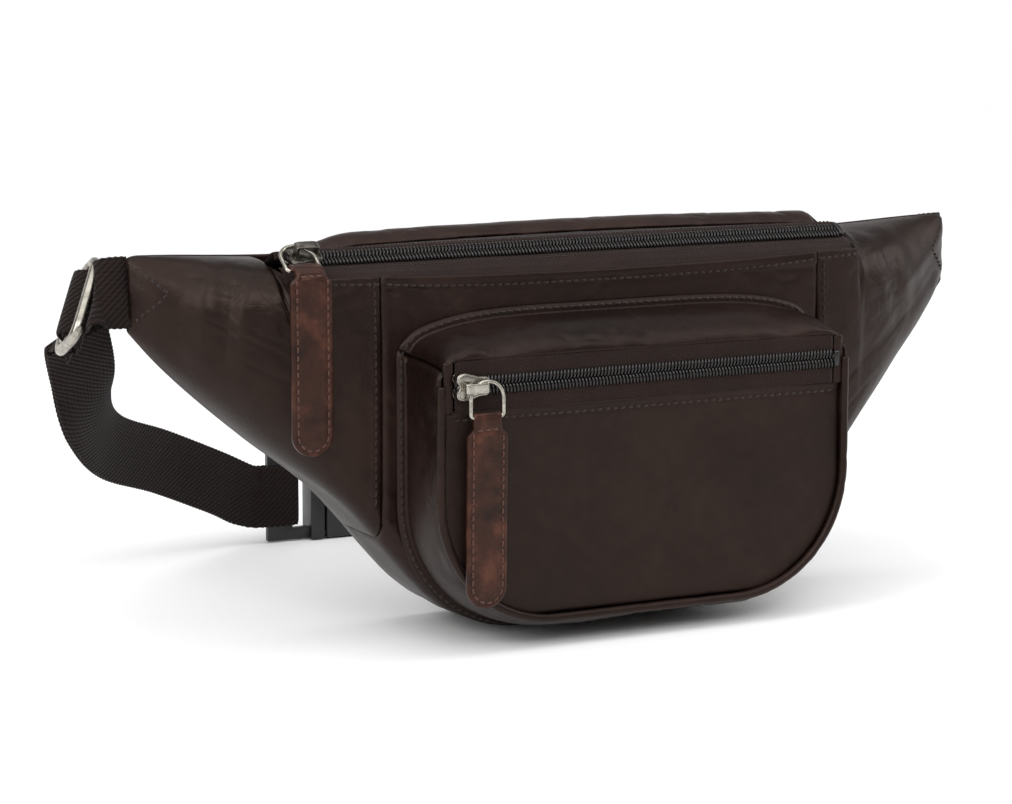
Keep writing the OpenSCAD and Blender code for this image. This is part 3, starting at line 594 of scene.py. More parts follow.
def wing(side):
    mouth = RIGHT_MOUTH if side > 0 else LEFT_MOUTH
    xs = np.linspace(PANEL + 0.05, REACH, 96)
    xs = xs[::-1] if side > 0 else -xs
    g = skin(xs)
    n = grid_normals(g)
    a = np.abs(g[..., 0])
    r = (a - PANEL) / (REACH - PANEL)
    # long folds run from the mouth's corner and the seam out to the belt's anchor
    toward = g.copy()
    toward[..., 2] = (g[..., 2] - mix(70, 126, r)) * (1 + 2.4 * r)
    d = 0.70 * fbm(toward, 42, 2, 11.3 + side, (0.55, 0.6, 1.1)) * (0.35 + 0.65 * ease(r * 2.2))
    d -= 0.20 * creases(toward, 24, 2.9 * side + 8, (0.6, 1, 1.3), 0.24)
    high = ease((g[..., 2] - 92) / 22) * np.clip(-n[..., 1], 0, 1) ** 1.5
    d -= 0.25 * creases(g, 8, 4.4 - side, (1.3, 1, 0.8), 0.2) * bump(a - mouth - 12, 22) * high
    d += 0.10 * fbm(g, 7, 2, 1.7)
    # upright pleats beyond the mouth's end, where the leather is gathered to the back's top edge
    lean = a + (g[..., 2] - 118) * 0.16 + 1.4 * fbm(g, 22, 2, 5.0 + side)
    gather = 1.0 if side < 0 else 0.3
    d += gather * high * (1.5 * bump(lean - mouth - 27, 4.2) - 1.3 * bump(lean - mouth - 20, 3.2)
                          + 1.1 * bump(lean - mouth - 14, 3.4) - 0.8 * bump(lean - mouth - 34, 4.5))
    d += pressed(a - PANEL, 0.25, 1.0, 0.40)
    d += -0.25 * bump(a - PANEL - 2.6, 0.8)
    tip = (REACH - a)
    d += 0.5 * bump(tip - 7, 5) - 0.25 * bump(tip, 2)
    keep = ease(np.minimum(g[..., 2] - low_z(a), 14) / 10) * 0.8 + 0.2
    flat = ease((BAG_DEPTH - 0.3 - g[..., 1]) / 3.0)
    d *= keep * (0.15 + 0.85 * flat)
    w = g + n * d[..., None]
    name = "right" if side > 0 else "left"
    grid("wing_%s_leather" % name, w, 1.6, LEATHER, "bag", ("wing_%s" % name,),
         round_edge=0.12)
    nn = grid_normals(w)
    k = int(np.argmin(np.abs(np.abs(w[:, 60, 0]) - (PANEL + 2.6))))
    stitches("stitch_seam_%s" % name, w[k, 2:122], nn[k, 2:122], "bag")
    lip = np.abs(w[:, 60, 0]) < mouth - 2
    stitches("stitch_lip_%s" % name, w[lip, 4], nn[lip, 4], "bag")
    # triangle of anchor stitches over the belt's end
    mid = 127.0
    corners = ((1.8, mid - 10), (11.5, mid), (1.8, mid + 9))
    line = resample([(REACH - dx, z) for dx, z in corners], 0.6)
    col = []
    for x, z in line:
        i = int(np.argmin(np.abs(np.abs(w[:, 60, 0]) - x)))
        j = int(np.argmin(np.abs(w[i, :118, 2] - z)))
        col.append(np.concatenate([w[i, j], nn[i, j]]))
    col = np.array(col)
    col[:, 0] = np.sign(side) * line[:, 0]
    col[:, 2] = line[:, 1]
    stitches("stitch_tip_%s" % name, col[:, :3], col[:, 3:], "bag", pitch=2.8, length=2.0)


wing(1)
wing(-1)
stitches("stitch_lip", front[2:-2, 4], front_n[2:-2, 4], "bag")

# ---------------------------------------------------------------- back panel, linings, facing

xs = np.linspace(-REACH + 0.3, REACH - 0.3, 230)
t = np.linspace(0, 1, 90)
g = np.array([np.stack([np.full(90, x), np.full(90, BAG_DEPTH + BACK_T - 0.15),
                        mix(back_top(x) - 0.2, low_z(x) + 0.2, t)], 1) for x in xs])
edge = np.minimum(np.minimum(g[..., 2] - low_z(g[..., 0]), back_top(g[..., 0]) - g[..., 2]),
                  REACH - np.abs(g[..., 0]))
d = -0.9 * bump(edge, 1.1) - 0.22 * bump(edge - 4.2, 0.9) + 0.15 * fbm(g, 30, 3, 6.0)
d -= 0.18 * creases(g, 15, 2.0)
g[..., 1] += np.minimum(d, 0.3)
grid("back_panel_leather", g, 1.7, LEATHER, "bag", ("back_panel",))
SEAM_IN = 4.2           # from the back panel's edge to its stitches
outline = []
for x in np.linspace(-REACH + 5, REACH - 5, 300):
    slope = 1 if abs(x) > 75 else abs(x) / 75
    outline.append((x, float(low_z(x)) + SEAM_IN * math.hypot(1, slope)))
for x in np.linspace(REACH - 5, -REACH + 5, 300):
    outline.append((x, float(back_top(x)) - SEAM_IN))
outline.append(outline[0])
line = np.array([(x, BAG_DEPTH + BACK_T - 0.35, z) for x, z in outline])
stitches("stitch_back", line, (0, 1, 0), "bag")
lo, hi = box("back_lining")
xs = np.linspace(lo[0], hi[0], 60)
g = np.array([np.stack([np.full(20, x), np.full(20, lo[1]),
                        np.linspace(low_z(x) + 9, back_top(x) - 9, 20)], 1) for x in xs])
grid("back_lining_cloth", g, 0.5, COTTON, "bag", ("back_lining",))

lo, hi = box("rear_facing")
xs = np.linspace(lo[0], hi[0], 200)
shape = catmull([(29.8, -3.5), (31.4, -2.3), (33.8, -0.9), (36.2, -0.1), (38.7, 0.0), (40.1, -0.9),
                 (40.5, -3.2), (40.45, -6.5)], 5)
g = np.array([np.stack([np.full(len(shape), x), shape[:, 0], back_top(x) + shape[:, 1]], 1)
              for x in xs])
n = grid_normals(g)
d = 0.22 * fbm(g, 16, 3, 4.0, (0.8, 1, 1)) - 0.3 * creases(g, 10, 1.0, (0.7, 1, 1))
d -= 0.5 * bump(hi[0] - np.abs(g[..., 0]), 1.2)
top = g + n * d[..., None]
# the rolled facing takes the lighter leather: painted highlight on the top of the bag
grid("rear_facing_leather", top, 1.2, ROLL_LEATHER_PAINTED_HIGHLIGHT, "bag", ("rear_facing",))
tn = grid_normals(top)
stitches("stitch_facing_back", top[3:-3, -8], tn[3:-3, -8], "bag")

# ---------------------------------------------------------------- zips

TILT = math.radians(34)                 # the main chain leans towards the front
MAIN = np.array([0.0, 14.0, 138.6])
main_lo, main_hi = box("main_teeth_front")[0][0], box("main_teeth_front")[1][0]


def at_main(p):
    """From the chain's own frame (along it, across it, out of it) to its place at the mouth."""
    p = np.asarray(p, float)
    y, z = p[..., 1], p[..., 2]
    return np.stack([p[..., 0], MAIN[1] + y * math.cos(TILT) - z * math.sin(TILT),
                     MAIN[2] + y * math.sin(TILT) + z * math.cos(TILT)], -1)


POCKET_Y = box("pocket_teeth_upper")[0][1]
POCKET_Z = (box("pocket_teeth_upper")[0][2] + box("pocket_teeth_lower")[1][2]) / 2


def at_pocket(p):
    """The same for the pocket's zip, which stands upright."""
    p = np.asarray(p, float)
    return np.stack([p[..., 0], POCKET_Y - p[..., 2], POCKET_Z + p[..., 1]], -1)


def coil(name, place, x0, x1, side, nodes):
    """One row of coiled teeth on its cord; side is the way its tape lies."""
    pitch = 1.36
    turns = (x1 - x0) / pitch
    th = np.linspace(0, 2 * math.pi * turns, int(turns * 12))
    half_step = 0.5 * pitch if side < 0 else 0      # the rows' turns alternate
    x = x0 + pitch * th / (2 * math.pi) + half_step * (x1 - x0 - pitch) / (x1 - x0)
    y = side * (1.62 - 1.62 * np.cos(th))
    z = -1.22 + 1.0 * np.sin(th)
    # flattened heads lock with the other row's
    path = place(np.stack([x, y + side * 0.06, z], 1))
    rings(name, tube_rings(path, 0.40, 7), COIL, "bag", nodes)
    core = place(np.stack([np.linspace(x0, x1, 80), np.full(80, side * 1.9),
                           np.full(80, -1.25)], 1))
    rings(name + "_cord", tube_rings(core, 0.72, 8), TAPE, "bag")


coil("main_coil_rear", at_main, main_lo, main_hi, 1, ("main_teeth_rear",))
coil("main_coil_front", at_main, main_lo, main_hi, -1, ("main_teeth_front",))
px0, px1 = box("pocket_teeth_upper")[0][0], box("pocket_teeth_upper")[1][0]
coil("pocket_coil_upper", at_pocket, px0, px1, 1, ("pocket_teeth_upper",))
coil("pocket_coil_lower", at_pocket, px0, px1, -1, ("pocket_teeth_lower",))


def end_stop(name, place, node):
    lo, hi = box(node)
    x0, x1 = lo[0], hi[0]
    cy, cz = squircle(20, 0.4, 0.4)
    out = [place(np.stack([np.full(20, x), 3.0 * k * cy, -1.0 + 1.35 * k * cz], 1))
           for x, k in ((x0, 0.86), (x0 + 0.3, 1.0), (x1 - 0.3, 1.0), (x1, 0.86))]
    rings(name, out, COIL, "bag", (node,))


end_stop("main_zip_stop", at_main, "main_end_stop")
end_stop("pocket_zip_stop", at_pocket, "pocket_end_stop")

# main tapes: from beside the coil to the edges they are sewn under
x_lo, x_hi = box("main_tape_front")[0][0], box("main_tape_front")[1][0]
xs = np.linspace(x_hi + 3, x_lo - 4, 176)


def main_tape(side):
    g = []
    for x in xs:
        p_in, p_mid = at_main(np.array([[x, side * 2.3, -1.9], [x, side * 5.3, -1.2]]))
        if side < 0:
            p_out = np.array([x, front_y(x) + 2.1, lip_z(x) - 1.4])
        else:
            p_out = np.array([x, 30.4, back_top(x) - 4.4])
        g.append(catmull([p_in, p_mid, mix(p_mid, p_out, 0.5) + [0, 0, 0.3], p_out], 6))
    g = np.array(g)
    g[..., 2] += 0.16 * fbm(g, 14, 2, 12.0)
    g = g if side < 0 else g[::-1]
    grid("main_tape_%s_cloth" % ("front" if side < 0 else "rear"), g, 0.6, TAPE, "bag",
         ("main_tape_%s" % ("front" if side < 0 else "rear"),))
    nn = grid_normals(g)
    stitches("stitch_tape_%d" % side, g[2:-2, 7], nn[2:-2, 7], "bag", 1.7, 1.25, 0.2, 0.05)


main_tape(-1)
main_tape(1)
xs2 = np.linspace(px0, px1, 150)
for side, nm in ((1, "upper"), (-1, "lower")):
    ys = np.linspace(2.3, 9.0, 10) * side
    zs = -1.75 + 0.4 * ease((np.abs(ys) - 2.3) / 2)
    g = np.array([at_pocket(np.stack([np.full(10, x), ys, zs], 1)) for x in xs2])
    g[..., 1] += 0.12 * fbm(g, 12, 2, 13.0)
    g = g if side < 0 else g[::-1]
    grid("pocket_tape_%s_cloth" % nm, g, 0.6, TAPE, "bag", ("pocket_tape_%s" % nm,))
    nn = grid_normals(g)
    stitches("stitch_ptape_%s" % nm, g[2:-2, 2], nn[2:-2, 2], "bag", 1.7, 1.25, 0.2, 0.05)

# ---------------------------------------------------------------- sliders, rings and tabs

BRIDGE_X = 3.4
# a ring: its axis over the chain, half width, length, place of its bar, and shift under the bridge
RING_Z, RING_HALF, RING_LEN, RING_BAR, RING_SHIFT = 3.6, 6.3, 12.5, -10.5, 4.3
WIRE = 1.5


def slab(outline, z0, z1, soft=0.35, steps=4, dome=0.0):
    """A plate with rounded edges on a closed outline: (verts, faces)."""
    o = np.asarray(outline, float)
    c = o.mean(0)
    a = np.linspace(0, math.pi / 2, steps)
    prof = [(z0 + soft * (1 - math.cos(k)), soft * (1 - math.sin(k))) for k in a]
    prof += [(z1 - soft * (1 - math.sin(k)), soft * (1 - math.cos(k))) for k in a]
    nrm = np.roll(o, -1, 0) - np.roll(o, 1, 0)
    nrm = unit(np.stack([nrm[:, 1], -nrm[:, 0]], 1))
    if np.sum((o - c) * nrm) < 0:
        nrm = -nrm
    level = np.ones((len(o), 1))
    out = [np.concatenate([o - nrm * inward, level * z], 1) for z, inward in prof]
    top, foot = out[-1][:, :2], out[0][:, :2]
    out += [np.concatenate([c + (top - c) * s, level * (z1 + dome * (1 - s))], 1)
            for s in (0.6, 0.25, 0.02)]
    out.insert(0, np.concatenate([c + (foot - c) * 0.02, level * z0], 1))
    rr = np.array(out)
    return rr.reshape(-1, 3), quads(np.arange(rr.shape[0] * rr.shape[1]).reshape(rr.shape[:2]))


def closed_curve(pts, n=8):
    """A smooth closed curve through pts, with n points to each stretch."""
    p = np.asarray(pts, float)
    m = len(p)
    return catmull(np.concatenate([p[-1:], p, p[:2]]), n)[n:n * (m + 1)]


def ribbon(path, across, half_w, half_t, power=4.0, sides=20):
    """(verts, faces) of a flat bar along path; its width lies along across."""
    p = np.asarray(path, float)
    t = unit(np.gradient(p, axis=0))
    a = unit(np.broadcast_to(np.asarray(across, float), p.shape))
    a = unit(a - t * np.sum(a * t, -1, keepdims=True))
    b = np.cross(t, a)
    cx, cy = squircle(sides, 2 / power, 2 / power)
    hw = np.broadcast_to(np.asarray(half_w, float), (len(p),))
    ht = np.broadcast_to(np.asarray(half_t, float), (len(p),))
    rr = (p[:, None] + a[:, None] * (hw[:, None] * cx)[..., None]
          + b[:, None] * (ht[:, None] * cy)[..., None])
    m, k = rr.shape[:2]
    idx = np.arange(m * k).reshape(m, k)
    nxt = np.roll(idx, -1, 1)
    v = np.concatenate([rr.reshape(-1, 3), rr[:1].mean(1), rr[-1:].mean(1)])
    f = quads(idx)
    f += [[m * k, int(y), int(x)] for x, y in zip(idx[0], nxt[0])]
    f += [[m * k + 1, int(x), int(y)] for x, y in zip(idx[-1], nxt[-1])]
    return v, f


def join(name, parts, mat, body, nodes=()):
    """One piece from several (verts, faces)."""
    vs, fs, base = [], [], 0
    for v, f in parts:
        vs.append(np.asarray(v, float))
        fs += [[i + base for i in q] for q in f]
        base += len(v)
    return make(name, np.concatenate(vs), fs, mat, body, nodes)


def slider(name, place, x0, mat, body, node):
    """Shell round the chain, rim on its top plate, and a flat bridge along it."""
    def to(v):
        return place(np.asarray(v, float) + [x0, 0, 0])
    shape = closed_curve([(-6.15, -2.2), (-5.6, -4.1), (-3.4, -4.85), (-0.6, -4.3), (2.4, -3.35),
                          (5.2, -3.15), (6.25, -2.4), (6.3, 0), (6.25, 2.4), (5.2, 3.15),
                          (2.4, 3.35), (-0.6, 4.3), (-3.4, 4.85), (-5.6, 4.1), (-6.15, 2.2),
                          (-5.2, 0)], 5)
    parts = [slab(shape, 0.25, 1.35, 0.32, 4, 0.25), slab(shape * 0.985, -3.85, -2.7, 0.3, 3)]
    rim = np.concatenate([shape * 0.90, np.full((len(shape), 1), 1.38)], 1)
    parts.append(bar_mesh(tube_rings(rim, 0.42, 8, True), True))
    # side flanges turned down round the teeth
    for s in (-1, 1):
        side = catmull([(-4.6, 4.35), (-3.0, 4.5), (-0.6, 4.0), (2.2, 3.15), (5.4, 2.95)], 5)
        for z, half_w in ((0.1, 0.85), (-2.45, 0.55)):
            path = np.stack([side[:, 0], s * side[:, 1], np.full(len(side), z)], 1)
            parts.append(ribbon(path, (0, 0, 1), half_w, 0.34, 5))
    for s in (-1, 1):
        post = np.array([[s * BRIDGE_X, 0, 1.0], [s * BRIDGE_X, 0, 2.6],
                         [s * (BRIDGE_X + 0.25), 0, 4.2], [s * (BRIDGE_X - 0.3), 0, 5.3]])
        parts.append(ribbon(catmull(post, 6), (0, 1, 0), [1.7] * 19, 0.62, 5))
    top = np.array([[-BRIDGE_X - 0.7, 0, 4.9], [-BRIDGE_X, 0, 5.4], [-1.5, 0, 5.55], [1.5, 0, 5.55],
                    [BRIDGE_X, 0, 5.4], [BRIDGE_X + 0.7, 0, 4.9]])
    parts.append(ribbon(catmull(top, 6), (0, 1, 0), 1.75, 0.52, 6))
    post = [(-5.2, -0.5), (-2.4, -0.4), (-2.4, 0.4), (-5.2, 0.5)]
    parts.append(slab(closed_curve(post, 4), -3.0, 0.6, 0.1, 2))
    join(name, [(to(v), f) for v, f in parts], mat, body, (node,))


def ring_path():
    """A ring's outline: a straight bar with round corners, two legs and a half circle."""
    r, w = 1.3, RING_HALF
    leg = RING_LEN - w
    corner = np.linspace(0, math.pi / 2, 7)
    pts = [(x, 0) for x in np.linspace(r - w, w - r, 16)]
    pts += [(w - r + r * math.sin(a), r - r * math.cos(a)) for a in corner[1:]]
    pts += [(w, z) for z in np.linspace(r, leg, 8)[1:]]
    pts += [(w * math.cos(a), leg + w * math.sin(a)) for a in np.linspace(0, math.pi, 40)[1:-1]]
    pts += [(-w, z) for z in np.linspace(leg, r, 8)]
    pts += [(r - w - r * math.sin(a), r - r * math.cos(a)) for a in corner[-2:0:-1]]
    return np.array(pts)


RP = ring_path()
MAIN_X = (box("main_slider")[0][0] + box("main_slider")[1][0]) / 2
POCKET_X = (box("pocket_slider")[0][0] + box("pocket_slider")[1][0]) / 2
RING_LEAN = math.radians(36)            # the main ring leans down from its bridge
pivot = np.array([MAIN_X, MAIN[1] - RING_Z * math.sin(TILT), MAIN[2] + RING_Z * math.cos(TILT)])
u_ring = np.array([0, math.cos(RING_LEAN), math.sin(RING_LEAN)])
main_eye = pivot + [-RING_SHIFT, 0, 0] + u_ring * RING_BAR
path = np.array([main_eye + [x, 0, 0] + u_ring * y for x, y in RP])
slider("main_slider_metal", at_main, MAIN_X, GUN, "main_slider", "main_slider")
rings("main_ring_wire", tube_rings(path, WIRE / 2, 14, True), NICKEL, "main_ring",
      ("main_ring",), closed=True)
pocket_eye = at_pocket(np.array([POCKET_X + RING_SHIFT, RING_BAR, RING_Z]))
path = np.array([pocket_eye + [x, 0, y] for x, y in RP])
slider("pocket_slider_metal", at_pocket, POCKET_X, NICKEL, "pocket_slider", "pocket_slider")
rings("pocket_ring_wire", tube_rings(path, WIRE / 2, 14, True), NICKEL, "pocket_ring",
      ("pocket_ring",), closed=True)

TAB_W = box("pocket_tab")[1][0] - box("pocket_tab")[0][0]
TAB_T = 2.6


def tab(name, path, eye, body, node, neck_len, seed):
    """Two plies folded over the ring, narrow at the fold, stitched all round."""
    path = resample(path, 0.55)
    s = arc(path)
    total = s[-1]
    across = np.array([1.0, 0, 0])
    half = TAB_W / 2
    t = unit(np.gradient(path, axis=0))
    out_n = np.cross(across, t)            # away from the bag
    if out_n[len(path) // 2][1] > 0:
        out_n = -out_n
    end = total - half
    w = np.where(s > end, np.sqrt(np.maximum(half ** 2 - (s - end) ** 2, 0)), half)
    w = w * mix(0.70, 1.0, ease((s - neck_len) / 3.4))
    cu, cv = squircle(44, 0.36, 0.36)
    sag = 0.5 * fbm(path * [0, 1, 1] + [seed * 9, 0, 0], 30, 2, seed)
    rr = []
    for i in range(len(path)):
        hw = max(w[i], 0.25)
        x = cu * hw
        dist = hw - np.abs(x)
        if s[i] > end:
            dist = np.minimum(dist, half - np.hypot(x, s[i] - end))
        if s[i] > neck_len - 6:
            dist = np.minimum(dist, abs(s[i] - neck_len + 1.5))
        thick = TAB_T / 2 - 0.30 * bump(dist - 2.0, 0.62) - 0.10 * bump(dist, 0.7)
        thick = thick + 0.10 * bump(dist - 3.3, 1.0)
        if i < 3:
            thick = thick * [0.55, 0.8, 0.94][i]
        base = path[i] + out_n[i] * sag[i] * 0.3 * ease(s[i] / 20)
        rr.append(base + x[:, None] * across + (cv * thick)[:, None] * out_n[i])
    rr = np.array(rr)
    wob = 0.07 * fbm(rr, 5, 2, seed)
    rr = rr + out_n[:, None] * wob[..., None]
    rr[..., 0] += eye[0]
    v, f = bar_mesh(rr)
    make(name + "_leather", v, f, TAB, body, (node,))
    # perimeter stitches on both faces
    d = half - 2.0
    down = np.linspace(neck_len + 3.0, end, 60)
    edge = [(-d, neck_len + 1.2)] + [(-d, q) for q in down]
    edge += [(-d * math.cos(a), end + d * math.sin(a)) for a in np.linspace(0, math.pi, 40)[1:-1]]
    edge += [(d, q) for q in down[::-1]] + [(d, neck_len + 1.2)]
    neck = np.stack([np.linspace(-d + 1.2, d - 1.2, 30), np.full(30, neck_len + 0.7)], 1)
    for face, tag in ((1, "front"), (-1, "back")):
        for lp, nm in ((np.array(edge), ""), (neck, "_bar")):
            c = np.stack([np.interp(lp[:, 1], s, path[:, q]) for q in range(3)], 1)
            nn = np.stack([np.interp(lp[:, 1], s, out_n[:, q]) for q in range(3)], 1) * face
            off = np.interp(lp[:, 1], s, sag * 0.3 * ease(s / 20))
            c = c + nn * (TAB_T / 2 - 0.28) + nn * face * off[:, None]
            c[:, 0] += lp[:, 0] + eye[0]
            stitches("stitch_%s_%s%s" % (name, tag, nm), c, nn, body, 2.9, 2.1, 0.34, 0.05,
                     THREAD_TAB)


# each tab's path in the bag's cross-section, from behind its ring's bar, over it and down
top = main_eye * [0, 1, 1]
hang_y = top[1] - 6.0                   # the main tab hangs this far in front of its ring
hang = [top + [0, 1.3, -0.9], top + [0, 1.2, 0.75], top + [0, -0.4, 1.15], top + [0, -2.6, 1.05],
        top + [0, -4.6, 0.2], top + [0, -5.8, -1.9], top + [0, -6.0, -5.0],
        [0, hang_y, top[2] - 30], [0, hang_y + 0.1, top[2] - 64.8]]
tab("main_tab", catmull(hang, 10), main_eye, "main_tab", "main_tab", 9.5, 2.0)
top = pocket_eye * [0, 1, 1]
lean = math.sin(math.radians(1))        # the pocket tab leans on the face
hang = [top + [0, 0.2, 1.55], top + [0, 0.0, 0.2], top + [0, 0.05, -4.0],
        top + [0, 30 * lean, -30.0], top + [0, 68 * lean, -68.0]]
tab("pocket_tab", catmull(hang, 10), pocket_eye, "pocket_tab", "pocket_tab", 5.2, 5.0)

# ---------------------------------------------------------------- front pocket

PX = 1.5                                # the pocket's middle
HALF = (box("pocket_face")[1][0] - box("pocket_face")[0][0]) / 2 + 2.2
FACE_Y = box("pocket_face")[0][1]
FACE_TOP = box("pocket_face")[1][2]
FOOT = box("pocket_face")[0][2] - 2.2
CORNER = 45.0                           # round of its two lower corners
WIN_TOP = POCKET_Z + 8.5
BASE_TOP, BASE_FOOT, BASE_Y = 119.0, 1.5, -1.4
BASE_HALF = HALF + 4.0
TOP_N = 46                              # points of an outline in half of its top


def loop(w, top, foot, rl, rt, shoulder=0.0):
    """A closed rounded outline from the top's middle round by the left, with matched counts."""
    upper, lower = np.linspace(0, math.pi / 2, 11)[1:], np.linspace(0, math.pi / 2, 26)[1:]
    q = [(x, top) for x in np.linspace(0, -w + rt, TOP_N)]
    q += [(-w + rt - rt * math.sin(a), top - rt + rt * math.cos(a)) for a in upper]
    q += [(-w, z) for z in np.linspace(top - rt, foot + rl, 34)[1:]]
    q += [(-w + rl - rl * math.cos(a), foot + rl - rl * math.sin(a)) for a in lower]
    q += [(x, foot) for x in np.linspace(-w + rl, 0, 26)[1:]]
    q = np.array(q)
    near_top = np.clip((q[:, 1] - top + 40) / 40, 0, 1)
    q[:, 1] -= shoulder * np.clip(-q[:, 0] / w, 0, 1) ** 5 * near_top
    other = q[::-1][1:] * [-1, 1]
    return np.concatenate([q, other])


# the band between the pocket's base on the front panel and the rim of its face
base0 = loop(BASE_HALF, BASE_TOP, BASE_FOOT, CORNER + 4, 9, 10)
base1 = loop(BASE_HALF - 3.0, BASE_TOP - 3.0, BASE_FOOT + 2.6, CORNER + 1.5, 8, 9)
rim = loop(HALF - 0.4, WIN_TOP + 0.4, FOOT + 0.4, CORNER - 0.4, 7)
N = len(base0)
flange = [(0.0, BASE_Y - 0.7), (0.5, BASE_Y - 1.0), (0.85, BASE_Y - 1.05)]
prof = []
cols = 30
for q, y in flange:
    prof.append((base0 + (base1 - base0) * q, y, q))
for k in range(cols + 1):
    t = k / cols
    prof.append((base1 + (rim - base1) * (1 - math.cos(math.pi / 2 * t)) ** 0.92,
                 mix(BASE_Y - 1.1, FACE_Y - 0.9, math.sin(math.pi / 2 * t) ** 0.96), 1 + t))
band = np.stack([np.concatenate([p[:, :1], np.full((N, 1), y), p[:, 1:]], 1)
                 for p, y, _ in prof], 1)
band[..., 0] += PX
vv = np.array([v for _, _, v in prof])
wrap = np.concatenate([band[-2:-1], band, band[1:2]], 0)
bn = grid_normals(wrap)[1:-1]
side_fold = 0.8 * fbm(band, 30, 2, 14.0, (1, 0.5, 1)) - 0.5 * creases(band, 15, 6.0, (1, 0.6, 1))
side_fold += 0.12 * fbm(band, 6, 2, 3.0)
body_part = ease((vv - 1.0) / 0.35) * ease((2.02 - vv) / 0.25)
d = side_fold * body_part[None]
d += -0.5 * bump(vv - 1.02, 0.035)[None] - 0.25 * bump(vv - 0.62, 0.2)[None]
for s in (1, -1):
    corner = np.hypot(band[..., 0] - PX + s * HALF, band[..., 2] - WIN_TOP)
    d += 1.1 * bump(corner - 12, 7) * body_part - 0.9 * bump(corner - 24, 6) * body_part
# mitre seams where the top panel meets the sides, from the base's corners to the rim's
mitre = TOP_N + 6
index = np.arange(N)
to_mitre = np.minimum(np.abs(index - mitre), np.abs(index - (N - 1 - mitre)))
d += -0.75 * bump(to_mitre, 1.3)[:, None] * (vv > 0.4)[None] \
    + 0.3 * bump(to_mitre - 3.4, 1.5)[:, None] * (vv > 0.9)[None]
# the join in the gusset at its foot
foot_mid = N // 2 + 18
d += -0.5 * bump(index - foot_mid, 1.2)[:, None]
pk = band + bn * d[..., None]
pk[..., 1] = np.minimum(pk[..., 1], BASE_Y - 0.1)
pk_n = grid_normals(np.concatenate([pk[-2:-1], pk, pk[1:2]], 0))[1:-1]
grid("pocket_gusset_leather", pk[mitre:N - mitre], 1.4, LEATHER, "bag",
     ("pocket_gusset",))
both = np.concatenate([pk[N - 1 - mitre:N - 1], pk[:mitre + 1]], 0)
grid("pocket_top_leather", both, 1.4, LEATHER, "bag", ("pocket_top_panel",))
stitches("stitch_pocket_base", pk[:, 1], pk_n[:, 1], "bag")

# face
zs = np.linspace(FACE_TOP + 0.2, FOOT + 1.7, 84)
chord = np.sqrt(np.maximum((CORNER - 1.5) ** 2 - (FOOT + CORNER - zs) ** 2, 1.0))
hw = np.where(zs > FOOT + CORNER, HALF - 1.5, HALF - CORNER + chord)
uu = np.linspace(-1, 1, 140)
g = np.array([np.stack([PX + uu * w, np.full(140, FACE_Y), np.full(140, z)], 1)
              for z, w in zip(zs, hw)])
edge = np.minimum((1 - np.abs(uu))[None] * hw[:, None], (zs - FOOT - 1.5)[:, None])
arcd = CORNER - np.hypot(np.maximum(np.abs(g[..., 0] - PX) - (HALF - CORNER), 0),
                         np.maximum(FOOT + CORNER - g[..., 2], 0)) - 1.5
edge = np.minimum(edge, np.maximum(arcd, 0))
from_top = FACE_TOP + 0.2 - g[..., 2]
puff = 0.9 * (1 - np.exp(-edge / 7)) - 0.4
puff += 0.22 * fbm(g, 42, 3, 21.0) - 0.16 * creases(g, 24, 3.0, (1, 1, 1.4))
puff += 0.05 * fbm(g, 7, 2, 1.0)
puff += 0.28 * bump(from_top - 1.3, 1.6) - 0.30 * bump(from_top - 3.4, 0.8)
g[..., 1] -= puff
grid("pocket_face_leather", g, 1.5, LEATHER_FACE, "bag", ("pocket_face",))
k = int(np.argmin(np.abs(from_top[:, 0] - 3.4)))
stitches("stitch_face_top", g[k, 3:-3], grid_normals(g)[k, 3:-3], "bag")

# piping round the face
u = loop(HALF - 0.2, WIN_TOP - 1, FOOT + 0.2, CORNER, 3)
u = u[TOP_N + 12:N - TOP_N - 12]
pipe = np.stack([u[:, 0] + PX, np.full(len(u), FACE_Y - 0.6), u[:, 1]], 1)
pipe = resample(pipe, 1.0)
rad = 1.62 + 0.09 * fbm(pipe, 9, 2, 5.0) - 0.16 * creases(pipe, 7, 3.3)
rings("pocket_piping_leather", tube_rings(pipe, rad, 16), LEATHER, "bag",
      ("pocket_piping",))
lo, hi = box("pocket_lining")
across = np.linspace(lo[0], hi[0], 30)
g = np.array([np.stack([across * (0.45 + 0.55 * ease((z - lo[2]) / 40)) + PX * 0.5,
                        np.full(30, lo[1]), np.full(30, z)], 1)
              for z in np.linspace(hi[2], lo[2], 30)])
grid("pocket_lining_cloth", g, 0.5, COTTON, "bag", ("pocket_lining",))
# leather ends beside the zip
ZIP_HALF = 77.2
for s in (-1, 1):
    x_in, x_out = PX + s * ZIP_HALF, PX + s * (HALF - 0.8)
    a = np.linspace(0, 1, 10)
    zz = np.linspace(WIN_TOP + 0.2, FACE_TOP - 1.0, 26)
    ys = FACE_Y - 0.9 * np.sin(math.pi * a) ** 0.6 - 0.2
    g = np.array([np.stack([mix(x_in, x_out, a), ys, np.full(10, z)], 1) for z in zz])
    g = g if s > 0 else g[:, ::-1]
    grid("pocket_zip_end_%s" % ("right" if s > 0 else "left"), g, 1.3, LEATHER, "bag")

# ---------------------------------------------------------------- belt

